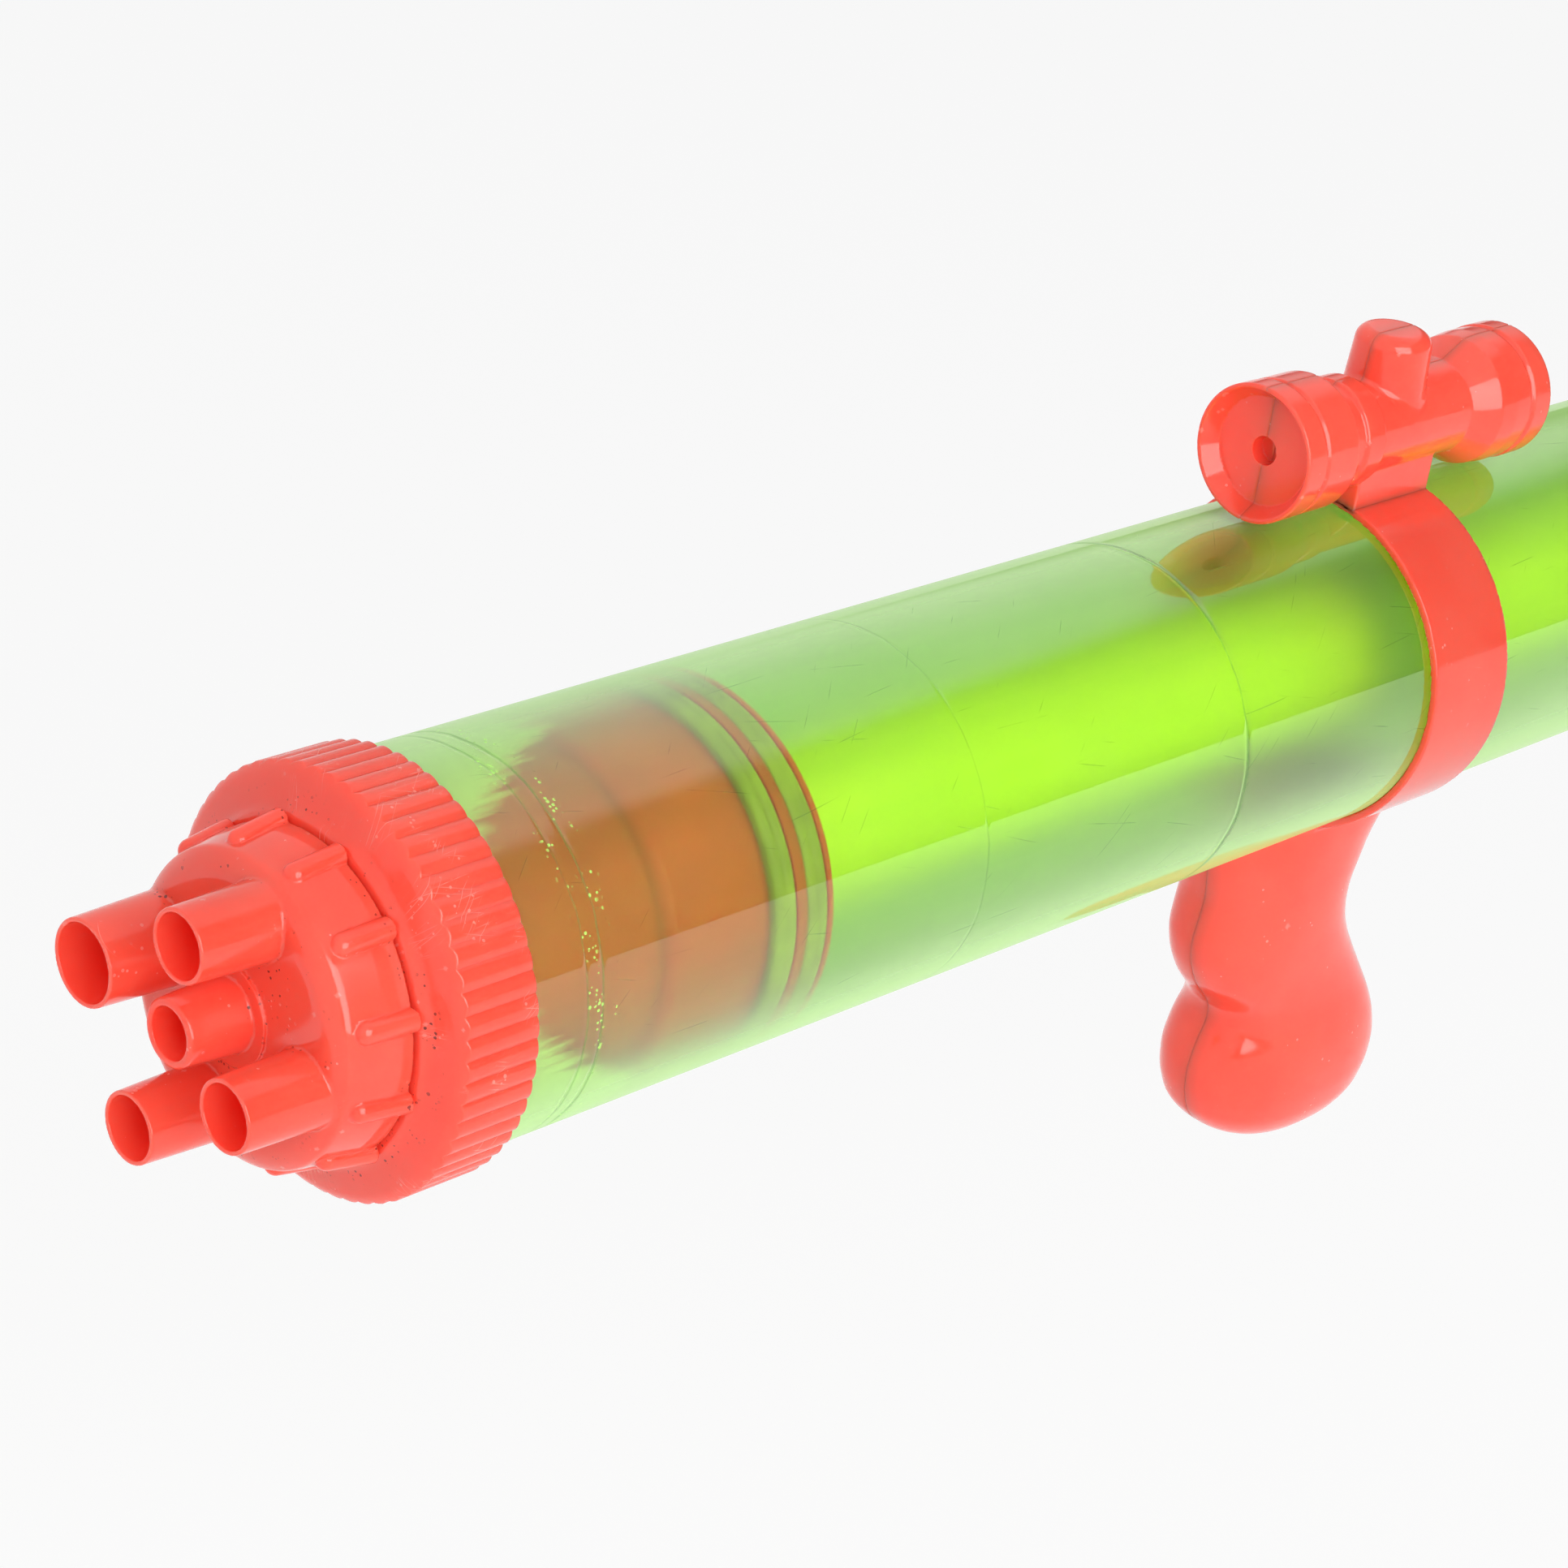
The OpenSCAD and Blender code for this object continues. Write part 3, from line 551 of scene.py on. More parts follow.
# Grip sections: drop below the barrel, shift from the ring's middle, half depth, half width
GRIP_SECTIONS = np.array([
    (-6, -0.4, 25.6, 15), (1.5, -1, 23.7, 14.5), (7.5, -2.8, 22.4, 14), (17.5, -3.4, 19.9, 13.5),
    (22.5, -3.8, 20.4, 13.5), (27.5, -3.4, 21.5, 13.5), (32.5, -1.3, 22.1, 13.5),
    (37.5, 2, 22.4, 13.5), (43.5, 7, 21.6, 13.8), (47.5, 8.8, 22.6, 14.6),
    (52.5, 9.1, 25.1, 15.8), (58, 9.4, 26.7, 16.4), (63.5, 9.8, 26.4, 16.2),
    (69, 10.3, 24.6, 15), (73, 11, 21.2, 12.8), (76.4, 11.8, 15.8, 9.5), (78.6, 12.4, 9, 5.5),
    (80, 12.8, 3, 2)])
GRIP_BULGE = 2.3
GRIP_TABLES = [soft_table(GRIP_SECTIONS[:, 0], GRIP_SECTIONS[:, k], 0.25, 1.3) for k in (1, 2, 3)]


def grip_solid(x, y, z):
    drop = -BARREL_R - z
    shift, depth, width = (np.interp(drop, *table) for table in GRIP_TABLES)
    across = np.abs(y) / width
    along = np.abs(x - RING_MID_X - shift) / depth
    full = (along ** GRIP_BULGE + across ** GRIP_BULGE) ** (1 / GRIP_BULGE)
    steepest = 0.95
    grip = common((full - 1) * width * steepest, GRIP_FOOT_Z - z, 2.0)
    from_barrel = np.hypot(y, z)
    ring = common(from_barrel - RING_R, slab(x, RING_X, RING_REAR_X), 0.4)
    body = joined(ring, np.maximum(grip, z - GRIP_TOP_Z), 1.2)
    body = cut(body, from_barrel - RING_BORE_R, 0.25)
    return cut(body, screw_recesses(x, y, z, MOUNT_SCREWS[1:]), 0.3)


def mount_shell_mesh(name, side):
    scope = (scope_solid, (SCOPE_X, 0, 30.0), (SCOPE_REAR_X, 13.6, 65.4), SCOPE_CELL)
    grip = (grip_solid, (251, 0, GRIP_FOOT_Z), (316, 34.3, 34.3), GRIP_CELL)
    return moulded(name, (scope, grip), side)


def handle_solid(x, y, z):
    r = np.hypot(y, z)
    around_hole = -round_plate(x, z, HANDLE_MIDDLE, HAND_HOLE_HALF, HAND_HOLE_CORNER)
    plate = np.maximum(round_plate(x, z, HANDLE_MIDDLE, HANDLE_HALF, HANDLE_CORNER), around_hole)
    bars = common(plate, np.abs(y) - HANDLE_HALF_WIDTH, HANDLE_ROUND)
    socket = common(common(r - SOCKET_R, SOCKET_X - x, 1.4), x - SOCKET_END_X, 3.0)
    body = joined(bars, socket, 4.0)
    body = np.maximum(body, around_hole - 0.6)
    body = cut(body, np.maximum(r - SOCKET_BORE_R, x - PLUNGER_REAR_X), 0.5)
    return cut(body, screw_recesses(x, y, z, HANDLE_SCREWS), 0.35)


def handle_shell_mesh(name, side):
    low, high = (SOCKET_X, 0, -HANDLE_HALF[1]), (576, 19.1, HANDLE_HALF[1])
    return moulded(name, ((handle_solid, low, high, HANDLE_CELL),), side)


# Shader tools

def fill(tree, made, inputs):
    """Links each input that is given a socket, and sets the others."""
    for key, value in inputs.items():
        if isinstance(value, bpy.types.NodeSocket):
            tree.links.new(value, made.inputs[key])
        else:
            made.inputs[key].default_value = value


def put(tree, kind, inputs=None, **settings):
    made = tree.nodes.new("ShaderNode" + kind)
    for key, value in settings.items():
        setattr(made, key, value)
    fill(tree, made, inputs or {})
    return made


def maths(tree, how, a, b=0.0, clamp=False):
    return put(tree, "Math", {0: a, 1: b}, operation=how, use_clamp=clamp).outputs[0]


def times(tree, a, b):
    return maths(tree, "MULTIPLY", a, b)


def largest(tree, masks):
    top = masks[0]
    for mask in masks[1:]:
        top = maths(tree, "MAXIMUM", top, mask)
    return top


def fade(tree, value, low, high, from_=0.0, to=1.0):
    made = put(tree, "MapRange", {"Value": value, "From Min": low, "From Max": high,
                                  "To Min": from_, "To Max": to}, interpolation_type="SMOOTHSTEP")
    return made.outputs[0]


def tint(tree, share, a, b):
    return put(tree, "Mix", {0: share, 6: a, 7: b}, data_type="RGBA").outputs[2]


def noise(tree, place, scale, detail=2.0, rough=0.5):
    made = put(tree, "TexNoise", {"Vector": place, "Scale": scale,
                                  "Detail": detail, "Roughness": rough})
    return made.outputs[0]


def stretched(tree, place, by):
    return put(tree, "Mapping", {"Vector": place, "Scale": by}).outputs[0]


def bumped(tree, height, strength, distance):
    return put(tree, "Bump", {"Height": height, "Strength": strength, "Distance": distance}).outputs[0]


def object_place(tree):
    return put(tree, "TexCoord").outputs["Object"]


def split_axes(tree, place):
    return put(tree, "SeparateXYZ", {0: place}).outputs


def around_barrel(tree, axes):
    """Angle about the barrel's axis, from the top towards the near side."""
    return maths(tree, "ARCTAN2", times(tree, axes[1], -1.0), axes[2])


# Shared effects, each a shader group with number sockets

def effect(name, inputs, outputs):
    """An empty group, its given and result sockets, and its object coordinates."""
    tree = bpy.data.node_groups.new(name, "ShaderNodeTree")
    for label, start in inputs:
        socket = tree.interface.new_socket(label, in_out="INPUT", socket_type="NodeSocketFloat")
        socket.default_value = start
    for label in outputs:
        tree.interface.new_socket(label, in_out="OUTPUT", socket_type="NodeSocketFloat")
    given = tree.nodes.new("NodeGroupInput").outputs
    result = tree.nodes.new("NodeGroupOutput").inputs
    return tree, given, result, object_place(tree)


def moulded_skin_effect():
    """Slow drift of tone and gloss and the faint ripple of a moulded surface."""
    tree, given, result, place = effect(
        "moulded_skin", [("Scale", 60.0)], ["Tone", "Dullness", "Height"])
    slow = noise(tree, place, given["Scale"], 3.0)
    fine = noise(tree, place, times(tree, given["Scale"], 5.0), 4.0, 0.6)
    tree.links.new(fade(tree, slow, 0.32, 0.68), result["Tone"])
    tree.links.new(fade(tree, fine, 0.35, 0.75), result["Dullness"])
    tree.links.new(maths(tree, "ADD", slow, times(tree, fine, 0.12)), result["Height"])
    return tree


def lane_scratches(tree, given, axes, lanes, length):
    """One scratch in each lane, off its middle by chance and broken into lengths."""
    lane = maths(tree, "FLOOR", lanes)
    pick = put(tree, "TexWhiteNoise", {"W": lane}, noise_dimensions="1D").outputs["Value"]
    middle = maths(tree, "ADD", times(tree, pick, 0.7), 0.15)
    in_lane = maths(tree, "SUBTRACT", lanes, lane)
    off = maths(tree, "ABSOLUTE", maths(tree, "SUBTRACT", in_lane, middle))
    off = times(tree, off, given["Spacing"])
    line = put(tree, "MapRange", {"Value": off, "From Min": 0.0, "From Max": given["Width"],
                                  "To Min": 1.0, "To Max": 0.0}).outputs[0]
    along = put(tree, "CombineXYZ", {0: times(tree, axes[0], length),
                                     1: times(tree, lane, 7.31)}).outputs[0]
    level = maths(tree, "SUBTRACT", 0.8, times(tree, given["Amount"], 0.45))
    shows = fade(tree, maths(tree, "SUBTRACT", noise(tree, along, 1.0), level), 0.0, 0.1)
    return times(tree, line, shows)


# Sets of scratch lanes: slant across the barrel, lane number to start from, breaks to the metre
SCRATCH_LANES = ((0.06, 0.0, 45.0), (-0.3, 31.0, 70.0), (0.9, 67.0, 110.0))


def hairlines_effect():
    """Fine scratches in broken lengths, in lanes that run at a slant along the barrel."""
    tree, given, result, place = effect(
        "hairlines", [("Spacing", 0.004), ("Width", 0.0001), ("Amount", 0.4)], ["Lines"])
    axes = split_axes(tree, place)
    bend = times(tree, noise(tree, place, 22.0, 0.0), 0.006)
    across = maths(tree, "ADD", times(tree, around_barrel(tree, axes), BARREL_R * MM), bend)
    sets = []
    for slant, first, length in SCRATCH_LANES:
        lanes = maths(tree, "ADD", across, times(tree, axes[0], slant))
        lanes = maths(tree, "ADD", maths(tree, "DIVIDE", lanes, given["Spacing"]), first)
        sets.append(lane_scratches(tree, given, axes, lanes, length))
    tree.links.new(largest(tree, sets), result["Lines"])
    return tree


def specks_effect():
    """Scattered small specks, a share of the cells of a loose grid."""
    tree, given, result, place = effect(
        "specks", [("Scale", 700.0), ("Size", 0.25), ("Share", 0.15)], ["Specks"])
    cell = put(tree, "TexVoronoi", {"Vector": place, "Scale": given["Scale"]}, feature="F1")
    pick = put(tree, "SeparateColor", {0: cell.outputs["Color"]})
    size = times(tree, given["Size"], maths(tree, "ADD", pick.outputs[1], 0.4))
    dot = maths(tree, "LESS_THAN", cell.outputs["Distance"], size)
    kept = maths(tree, "LESS_THAN", pick.outputs[0], given["Share"])
    tree.links.new(times(tree, dot, kept), result["Specks"])
    return tree


def drawn_lines_effect():
    """Streaks along the barrel left by drawing a plastic tube."""
    tree, given, result, place = effect("drawn_lines", [("Fineness", 220.0)], ["Streaks", "Height"])
    along = stretched(tree, place, (0.03, 1.0, 1.0))
    broad = noise(tree, along, given["Fineness"], 3.0, 0.6)
    fine = noise(tree, along, times(tree, given["Fineness"], 6.0), 2.0)
    tree.links.new(fade(tree, broad, 0.35, 0.65), result["Streaks"])
    tree.links.new(maths(tree, "ADD", broad, times(tree, fine, 0.2)), result["Height"])
    return tree


SKIN, HAIRLINES = moulded_skin_effect(), hairlines_effect()
SPECKS, DRAWN = specks_effect(), drawn_lines_effect()


def use(tree, effect_tree, **values):
    made = tree.nodes.new("ShaderNodeGroup")
    made.node_tree = effect_tree
    fill(tree, made, values)
    return made.outputs


# Materials

PLASTIC_IOR, CLEAR_IOR = 1.5, 1.49


def new_material(name):
    material = bpy.data.materials.new(name)
    material.use_nodes = True
    tree = material.node_tree
    return material, tree, tree.nodes["Principled BSDF"]


def show_shader(tree, shader):
    tree.links.new(shader, tree.nodes["Material Output"].inputs[0])


def along_bands(tree, place, bands, ramp):
    """Mask of bands along the barrel, each (from, to) in mm."""
    along = split_axes(tree, place)[0]
    masks = []
    for low, high in bands:
        rise = fade(tree, along, (low - ramp) * MM, (low + ramp) * MM)
        fall = fade(tree, along, (high - ramp) * MM, (high + ramp) * MM, 1.0, 0.0)
        masks.append(times(tree, rise, fall))
    return largest(tree, masks)


def patchy_scuffs(tree, place, scuffs):
    """Scratches and nicks that come in patches."""
    lines = use(tree, HAIRLINES, Spacing=0.0012, Width=0.0001, Amount=scuffs)["Lines"]
    nicks = use(tree, SPECKS, Scale=1300.0, Size=0.3, Share=0.3 * scuffs)["Specks"]
    patches = fade(tree, noise(tree, place, 110.0, 3.0), 0.54, 0.66)
    return times(tree, largest(tree, (lines, nicks)), patches)


def settled_dirt(tree, place, bands):
    """Clumps of dirt specks inside bands along the barrel."""
    dots = use(tree, SPECKS, Scale=1700.0, Size=0.4, Share=0.2)["Specks"]
    clumps = fade(tree, noise(tree, place, 160.0, 2.0), 0.48, 0.6)
    return times(tree, times(tree, dots, clumps), along_bands(tree, place, bands, 0.35))


def red_gloss(name, scuffs, dirt_bands=(), light=CORAL, deep=DEEP_CORAL):
    """Moulded plastic, coral unless said, with a painted highlight along its convex edges and dirt in
    bands given as (from, to) in mm.
    """
    material, tree, shader = new_material(name)
    place = object_place(tree)
    skin = use(tree, SKIN, Scale=55.0)
    scuffed = patchy_scuffs(tree, place, scuffs)
    edges = put(tree, "NewGeometry").outputs["Pointiness"]
    colour = tint(tree, skin["Tone"], deep, light)
    # Convex edges, found by pointiness, are lightened toward the pale pink: a painted highlight along
    # the edges.
    colour = tint(tree, fade(tree, edges, 0.54, 0.64, 0.0, 0.3), colour, SCUFF_AND_EDGE_HIGHLIGHT_PINK)
    colour = tint(tree, times(tree, scuffed, 0.42), colour, SCUFF_AND_EDGE_HIGHLIGHT_PINK)
    if dirt_bands:
        dirt = times(tree, settled_dirt(tree, place, dirt_bands), 0.85)
        colour = tint(tree, dirt, colour, DIRT)
    dull = fade(tree, skin["Dullness"], 0.0, 1.0, 0.09, 0.16)
    height = maths(tree, "SUBTRACT", skin["Height"], times(tree, scuffed, 0.15))
    fill(tree, shader, {
        "Base Color": colour,
        "Roughness": maths(tree, "ADD", dull, times(tree, scuffed, 0.3), clamp=True),
        "Normal": bumped(tree, height, 0.06, 0.0003),
        "IOR": PLASTIC_IOR,
        "Subsurface Weight": 0.75,
        "Subsurface Radius": (1.0, 0.1, 0.065),
        "Subsurface Scale": 0.009})
    return material


def barrel_marks(tree, place):
    """Dark green ring lines at the ring marks, broken up round the barrel."""
    wander = times(tree, maths(tree, "SUBTRACT", noise(tree, place, 90.0), 0.5), 0.0016)
    along = maths(tree, "ADD", split_axes(tree, place)[0], wander)
    lines = []
    for x, depth, half in RING_MARKS:
        off = maths(tree, "ABSOLUTE", maths(tree, "SUBTRACT", along, x * MM))
        lines.append(fade(tree, off, 0.15 * half * MM, half * MM, 4.0 * depth, 0.0))
    broken = fade(tree, noise(tree, place, 120.0, 3.0), 0.3, 0.55, 0.35, 1.0)
    return maths(tree, "MULTIPLY", largest(tree, lines), broken, clamp=True)


def water_drops(tree, place):
    """Small drops caught along the two front ring marks."""
    dots = use(tree, SPECKS, Scale=1400.0, Size=0.36, Share=0.5)["Specks"]
    runs = noise(tree, stretched(tree, place, (1.0, 0.35, 0.35)), 260.0, 2.0)
    near_marks = along_bands(tree, place, ((52.5, 60.0),), 1.0)
    return times(tree, times(tree, dots, fade(tree, runs, 0.52, 0.6)), near_marks)


def lets_light_in(tree, shader, tone):
    """The shader, but lamps shine through it in the tube's tint."""
    clear = put(tree, "BsdfTransparent", {0: tone})
    shadow = put(tree, "LightPath").outputs["Is Shadow Ray"]
    return put(tree, "MixShader", {0: shadow, 1: shader, 2: clear.outputs[0]}).outputs[0]


def with_diffuse_layer(tree, shader, share, colour):
    """The shader with a share of a diffuse colour in it, used for milky haze and for painted sheen and
    glints.
    """
    haze = put(tree, "BsdfDiffuse", {0: colour})
    return put(tree, "MixShader", {0: share, 1: shader, 2: haze.outputs[0]}).outputs[0]


def glows_from_inside(tree, shader, share, colour):
    """The shader, but where it is met from the bore, a share glows with the light behind it."""
    glow = put(tree, "BsdfTranslucent", {0: colour})
    behind = put(tree, "NewGeometry").outputs["Backfacing"]
    share = times(tree, maths(tree, "SUBTRACT", 1.0, behind), share)
    return put(tree, "MixShader", {0: share, 1: shader, 2: glow.outputs[0]}).outputs[0]


def clear_tube_outside():
    """Glossy clear plastic with scratches, ring marks and drops, a painted sheen that pales it towards
    its edges, and painted glints on the drops and at the collar's rim.
    """
    material, tree, shader = new_material("clear_green_outside")
    place = object_place(tree)
    skin = use(tree, SKIN, Scale=40.0)
    lines = use(tree, HAIRLINES, Spacing=0.0045, Width=0.00012, Amount=0.42)["Lines"]
    marks, drops = barrel_marks(tree, place), water_drops(tree, place)
    colour = tint(tree, skin["Tone"], MID_GREEN, PALE_GREEN)
    colour = tint(tree, times(tree, lines, 0.5), colour, SCRATCH_GREEN)
    colour = tint(tree, times(tree, marks, 0.7), colour, SCRATCH_GREEN)
    dull = fade(tree, skin["Dullness"], 0.0, 1.0, 0.04, 0.09)
    height = maths(tree, "SUBTRACT", skin["Height"], times(tree, lines, 0.5))
    height = maths(tree, "ADD", height, drops)
    fill(tree, shader, {
        "Base Color": colour,
        "Roughness": maths(tree, "ADD", dull, times(tree, lines, 0.3)),
        "Normal": bumped(tree, height, 0.08, 0.0004),
        "Transmission Weight": 1.0,
        "IOR": CLEAR_IOR,
        "Coat Weight": 0.8,
        "Coat Roughness": 0.04,
        "Coat IOR": 1.6})
    # The milky share is a painted sheen: pale green laid on where the tube is seen at a slant, in
    # place of the white reflection along its edges.
    slant = put(tree, "LayerWeight", {0: 0.5}).outputs["Facing"]
    milky = fade(tree, slant, 0.5, 0.85, 0.0, 0.6)
    worn = largest(tree, (times(tree, marks, 0.6), times(tree, lines, 0.32)))
    # The drops and a band at the collar's rim are lightened toward pale green: painted glints on the
    # drops and a painted highlight line at the rim.
    collar_rim = along_bands(tree, place, ((41.6, 42.1),), 0.12)
    bright = times(tree, largest(tree, (drops, collar_rim)), 0.7)
    surface = shader.outputs[0]
    for share, haze in ((milky, GRAZING_SHEEN_GREEN), (worn, MARK_GREEN), (bright, GLINT_GREEN)):
        surface = with_diffuse_layer(tree, surface, share, haze)
    show_shader(tree, lets_light_in(tree, surface, OUTSIDE_LAMP_TINT))
    return material


def dry_film(tree, place):
    """Where the bore is dry and milky: ahead of a ragged edge that swings back over the top."""
    axes = split_axes(tree, place)
    away = maths(tree, "ABSOLUTE", maths(tree, "SUBTRACT", around_barrel(tree, axes), 1.0))
    swing = times(tree, maths(tree, "POWER", away, 2.0), 0.03)
    furthest = fade(tree, away, 1.15, 1.8, 0.07, 0.05)
    edge = maths(tree, "MINIMUM", maths(tree, "ADD", swing, 0.0365), furthest)
    rag = noise(tree, stretched(tree, place, (0.1, 1.0, 1.0)), 620.0, 4.0, 0.6)
    rag = times(tree, maths(tree, "SUBTRACT", rag, 0.5), 0.016)
    ahead = maths(tree, "SUBTRACT", maths(tree, "ADD", edge, rag), axes[0])
    return fade(tree, ahead, -0.004, 0.005, 0.0, 0.72)


def frosted_bore():
    """The tube's inside, dulled by the seals that rub along it."""
    material, tree, shader = new_material("clear_green_bore")
    drawn = use(tree, DRAWN, Fineness=160.0)
    skin = use(tree, SKIN, Scale=25.0)
    fill(tree, shader, {
        "Base Color": tint(tree, drawn["Streaks"], MID_GREEN, PALE_GREEN),
        "Roughness": fade(tree, skin["Tone"], 0.0, 1.0, 0.285, 0.335),
        "Transmission Weight": 1.0,
        "IOR": CLEAR_IOR})
    surface = glows_from_inside(tree, shader.outputs[0], 0.9, WALL_GLOW)
    surface = with_diffuse_layer(tree, surface, dry_film(tree, object_place(tree)), DRY_GREEN)
    show_shader(tree, lets_light_in(tree, surface, BORE_LAMP_TINT))
    return material


def lime_tube():
    material, tree, shader = new_material("lime_plastic_drawn")
    drawn = use(tree, DRAWN, Fineness=120.0)
    skin = use(tree, SKIN, Scale=45.0)
    colour = tint(tree, drawn["Streaks"], DEEP_LIME, PALE_LIME)
    fill(tree, shader, {
        "Base Color": tint(tree, times(tree, skin["Tone"], 0.25), colour, WORN_LIME),
        "Roughness": fade(tree, skin["Dullness"], 0.0, 1.0, 0.2, 0.32),
        "Normal": bumped(tree, drawn["Height"], 0.04, 0.0003)})
    return material


def rubber(name, light, dark, dullness):
    material, tree, shader = new_material(name)
    skin = use(tree, SKIN, Scale=150.0)
    dots = use(tree, SPECKS, Scale=900.0, Size=0.3, Share=0.2)["Specks"]
    colour = tint(tree, skin["Tone"], dark, light)
    fill(tree, shader, {
        "Base Color": tint(tree, times(tree, dots, 0.25), colour, dark),
        "Roughness": fade(tree, skin["Dullness"], 0.0, 1.0, dullness - 0.1, dullness + 0.1),
        "Normal": bumped(tree, skin["Height"], 0.25, 0.0003)})
    return material


def plated_steel():
    material, tree, shader = new_material("screw_steel_plated")
    skin = use(tree, SKIN, Scale=400.0)
    lines = use(tree, HAIRLINES, Spacing=0.0006, Width=0.00006, Amount=0.7)["Lines"]
    colour = tint(tree, skin["Tone"], PLATED_DARK, PLATED_LIGHT)
    fill(tree, shader, {
        "Base Color": tint(tree, times(tree, lines, 0.4), colour, PLATED_SCRATCH),
        "Roughness": fade(tree, skin["Dullness"], 0.0, 1.0, 0.285, 0.4),
        "Normal": bumped(tree, maths(tree, "SUBTRACT", skin["Height"], lines), 0.15, 0.0001),
        "Metallic": 1.0})
    return material


# The pieces

def show(mesh, material, body, slot, *nodes):
    """Adds a piece that rides on a body and stands for CAD nodes."""
    piece = bpy.data.objects.new(mesh.name, mesh)
    bpy.context.scene.collection.objects.link(piece)
    mesh.materials.append(material)
    if not mesh.has_custom_normals:
        even = piece.modifiers.new("even_shading", "WEIGHTED_NORMAL")
        even.keep_sharp = True
    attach(piece, body)
    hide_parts(*nodes)


def build_barrel_and_cap():
    cap_red = red_gloss("red_plastic_cap", 0.35, ((10.2, 12.2), (22.6, 25.0)))
    collar_red = red_gloss("red_plastic_collar", 0.75, ((24.6, 26.4),))
    show(nozzle_cap_mesh(), cap_red, "nozzle", RED, "nozzle_cap")
    show(front_collar_mesh(), collar_red, "barrel", RED, "front_collar")
    show(rear_cap_mesh(), collar_red, "barrel", RED, "rear_cap")
    tube = barrel_tube_mesh()
    show(tube, clear_tube_outside(), "barrel", CLEAR, "barrel_tube")
    tube.materials.append(frosted_bore())


def build_piston_and_plunger():
    piston_red = red_gloss("red_plastic_piston", 0.2, (), PISTON_RED, DEEP_PISTON_RED)
    olive = rubber("olive_rubber_seal", OLIVE_LIGHT, OLIVE_DARK, 0.45)
    show(piston_nose_mesh(), piston_red, "piston", RED, "piston_nose")
    show(piston_body_mesh(), piston_red, "piston", RED, "piston_body")
    show(seal_mesh("piston_seal_front", 95.0), olive, "piston", OLIVE, "piston_seal_front")
    show(seal_mesh("piston_seal_rear", 102.0), olive, "piston", OLIVE, "piston_seal_rear")
    show(plunger_tube_mesh(), lime_tube(), "plunger", LIME, "plunger_tube")


def build_shells(shell_red):
    for name, side in (("mount_shell_right", 1), ("mount_shell_left", -1)):
        show(mount_shell_mesh(name, side), shell_red, "barrel", RED, name)
    for name, side in (("handle_shell_right", 1), ("handle_shell_left", -1)):
        show(handle_shell_mesh(name, side), shell_red, "plunger", RED, name)


def finish_carried_nodes(shell_red):
    """Gives the nodes that keep their CAD shape their finishes."""
    dark = rubber("dark_rubber_gasket", GASKET_LIGHT, GASKET_DARK, 0.6)
    steel = plated_steel()
    finishes = {"collar_gasket": dark, "nozzle_gasket": dark, "plunger_plug": shell_red,
                "swivel_washer": steel, "swivel_screw": steel,
                "mount_screws": steel, "handle_screws": steel}
    for node, material in finishes.items():
        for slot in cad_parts[node].material_slots:
            slot.material = material


def build_pieces():
    build_barrel_and_cap()
    build_piston_and_plunger()
    shell_red = red_gloss("red_plastic_shell", 0.2)
    build_shells(shell_red)
    finish_carried_nodes(shell_red)


# The stage, in metres

CAMERA_AZIMUTH, CAMERA_LIFT, CAMERA_ROLL = (math.radians(turn) for turn in (-48.74, 26.34, -8.76))
CAMERA_PLACE, CAMERA_LENS, CAMERA_SENSOR = (-0.31525, -0.38762, 0.29952), 90.16, 36.0
FLOOR_Z, FLOOR_HALF = -0.34, 30.0
FLOOR_ALBEDO, FLOOR_TONE, FLOOR_GLOW = 0.86, 0.975, 0.85
SKY_DIM, SKY_BRIGHT = 0.12, 0.9
SOFTBOX_AIM, SOFTBOX_WAY = Vector((0.15, 0.0, 0.0)), Vector((-0.233, -0.885, 0.42)).normalized()
SOFTBOX_DISTANCE, SOFTBOX_SIZE, SOFTBOX_WATTS = 1.3, 1.1, 18


def aim_camera():
    back = Vector((math.sin(CAMERA_AZIMUTH) * math.cos(CAMERA_LIFT),
                   -math.cos(CAMERA_AZIMUTH) * math.cos(CAMERA_LIFT), math.sin(CAMERA_LIFT)))
    right = (-back).cross(Vector((0, 0, 1))).normalized()
    down = (-back).cross(right)
    x_axis = math.cos(CAMERA_ROLL) * right + math.sin(CAMERA_ROLL) * down
    y_axis = math.sin(CAMERA_ROLL) * right - math.cos(CAMERA_ROLL) * down
    data = bpy.data.cameras.new("camera")
    data.sensor_width, data.lens, data.clip_start = CAMERA_SENSOR, CAMERA_LENS, 0.01
    camera = bpy.data.objects.new("camera", data)
    turn = Matrix((x_axis, y_axis, back)).transposed().to_4x4()
    camera.matrix_world = Matrix.Translation(CAMERA_PLACE) @ turn
    bpy.context.scene.collection.objects.link(camera)
    bpy.context.scene.camera = camera


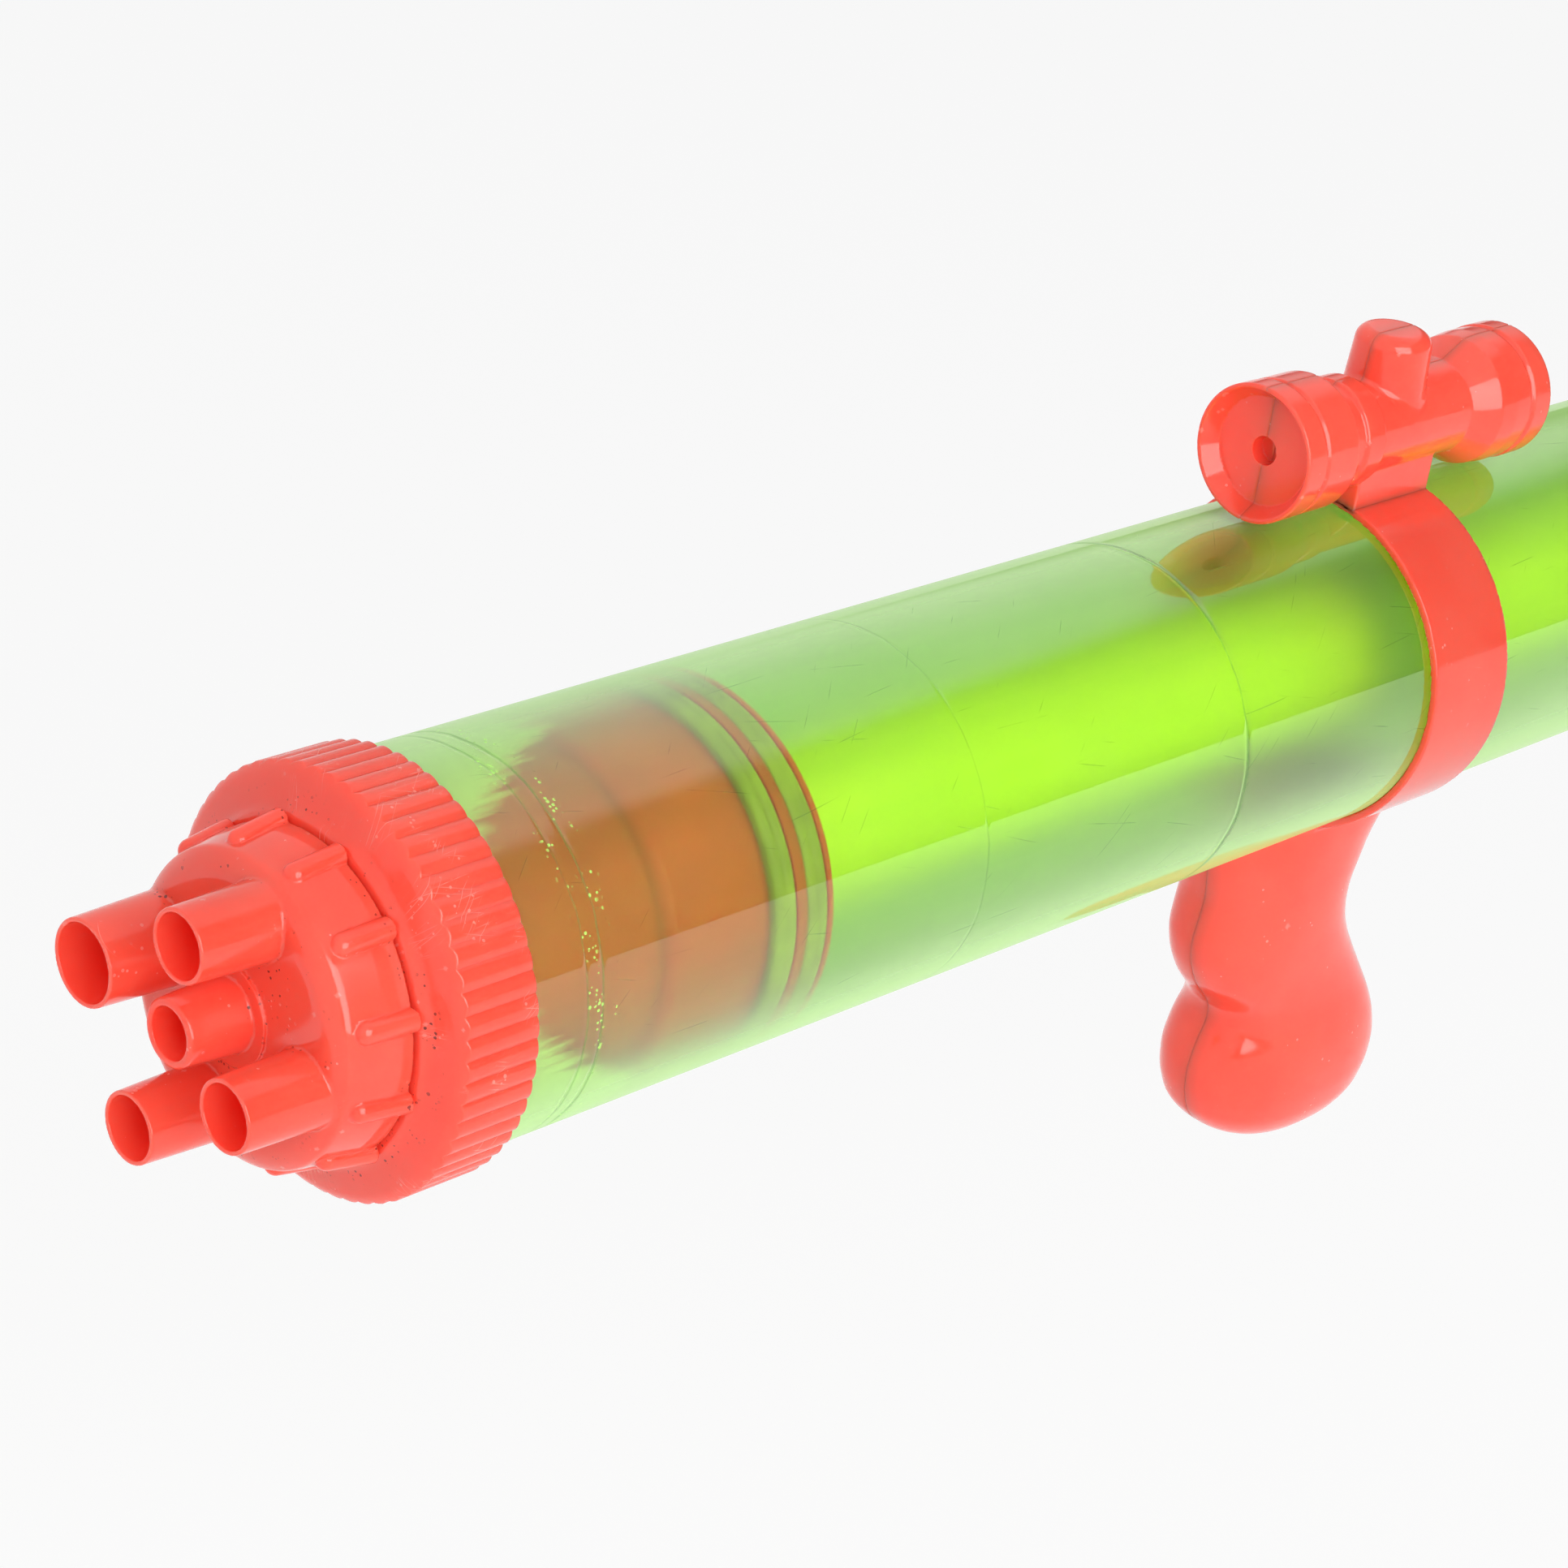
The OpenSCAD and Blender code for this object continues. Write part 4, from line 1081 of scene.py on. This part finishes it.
def floor_material():
    """Matte pale floor that keeps shadows, and is nearly white where it is seen."""
    material, tree, shader = new_material("floor_pale")
    tree.nodes.remove(shader)
    matte = put(tree, "BsdfDiffuse", {0: (FLOOR_ALBEDO, FLOOR_ALBEDO, FLOOR_ALBEDO, 1)})
    glow = put(tree, "Emission", {0: (FLOOR_TONE, FLOOR_TONE, FLOOR_TONE, 1), 1: 1.0})
    path = put(tree, "LightPath").outputs
    seen = largest(tree, (path["Is Camera Ray"], path["Is Glossy Ray"], path["Is Transmission Ray"]))
    share = times(tree, seen, FLOOR_GLOW)
    mixed = put(tree, "MixShader", {0: share, 1: matte.outputs[0], 2: glow.outputs[0]})
    show_shader(tree, mixed.outputs[0])
    return material


def lay_floor():
    corners = [(x * FLOOR_HALF, y * FLOOR_HALF, FLOOR_Z)
               for x, y in ((-1, -1), (1, -1), (1, 1), (-1, 1))]
    mesh = bpy.data.meshes.new("floor")
    mesh.from_pydata(corners, [], [(0, 1, 2, 3)])
    mesh.materials.append(floor_material())
    floor = bpy.data.objects.new("floor", mesh)
    bpy.context.scene.collection.objects.link(floor)


def open_sky():
    """A sky that is bright above, behind and ahead of the muzzle, and dim towards the near right."""
    world = bpy.data.worlds.new("studio")
    world.use_nodes = True
    tree = world.node_tree
    axes = split_axes(tree, put(tree, "TexCoord").outputs["Generated"])
    lean = maths(tree, "ADD", axes[2], times(tree, axes[1], 0.9))
    lean = maths(tree, "SUBTRACT", lean, times(tree, axes[0], 0.75))
    level = fade(tree, lean, 0.0, 0.22, SKY_DIM, SKY_BRIGHT)
    path = put(tree, "LightPath").outputs
    seen = largest(tree, (path["Is Camera Ray"], path["Is Transmission Ray"]))
    level = put(tree, "Mix", {0: seen, 2: level, 3: FLOOR_TONE}).outputs[0]
    fill(tree, tree.nodes["Background"], {"Color": (1, 1, 1, 1), "Strength": level})
    bpy.context.scene.world = world


def hang_softbox():
    data = bpy.data.lights.new("softbox_right", "AREA")
    data.shape, data.size, data.size_y = "RECTANGLE", SOFTBOX_SIZE, SOFTBOX_SIZE
    data.energy = SOFTBOX_WATTS
    light = bpy.data.objects.new("softbox_right", data)
    light.location = SOFTBOX_AIM + SOFTBOX_WAY * SOFTBOX_DISTANCE
    light.rotation_euler = SOFTBOX_WAY.to_track_quat("Z", "Y").to_euler()
    bpy.context.scene.collection.objects.link(light)


bpy.context.scene.view_settings.view_transform = "Standard"
aim_camera()
lay_floor()
open_sky()
hang_softbox()
build_pieces()
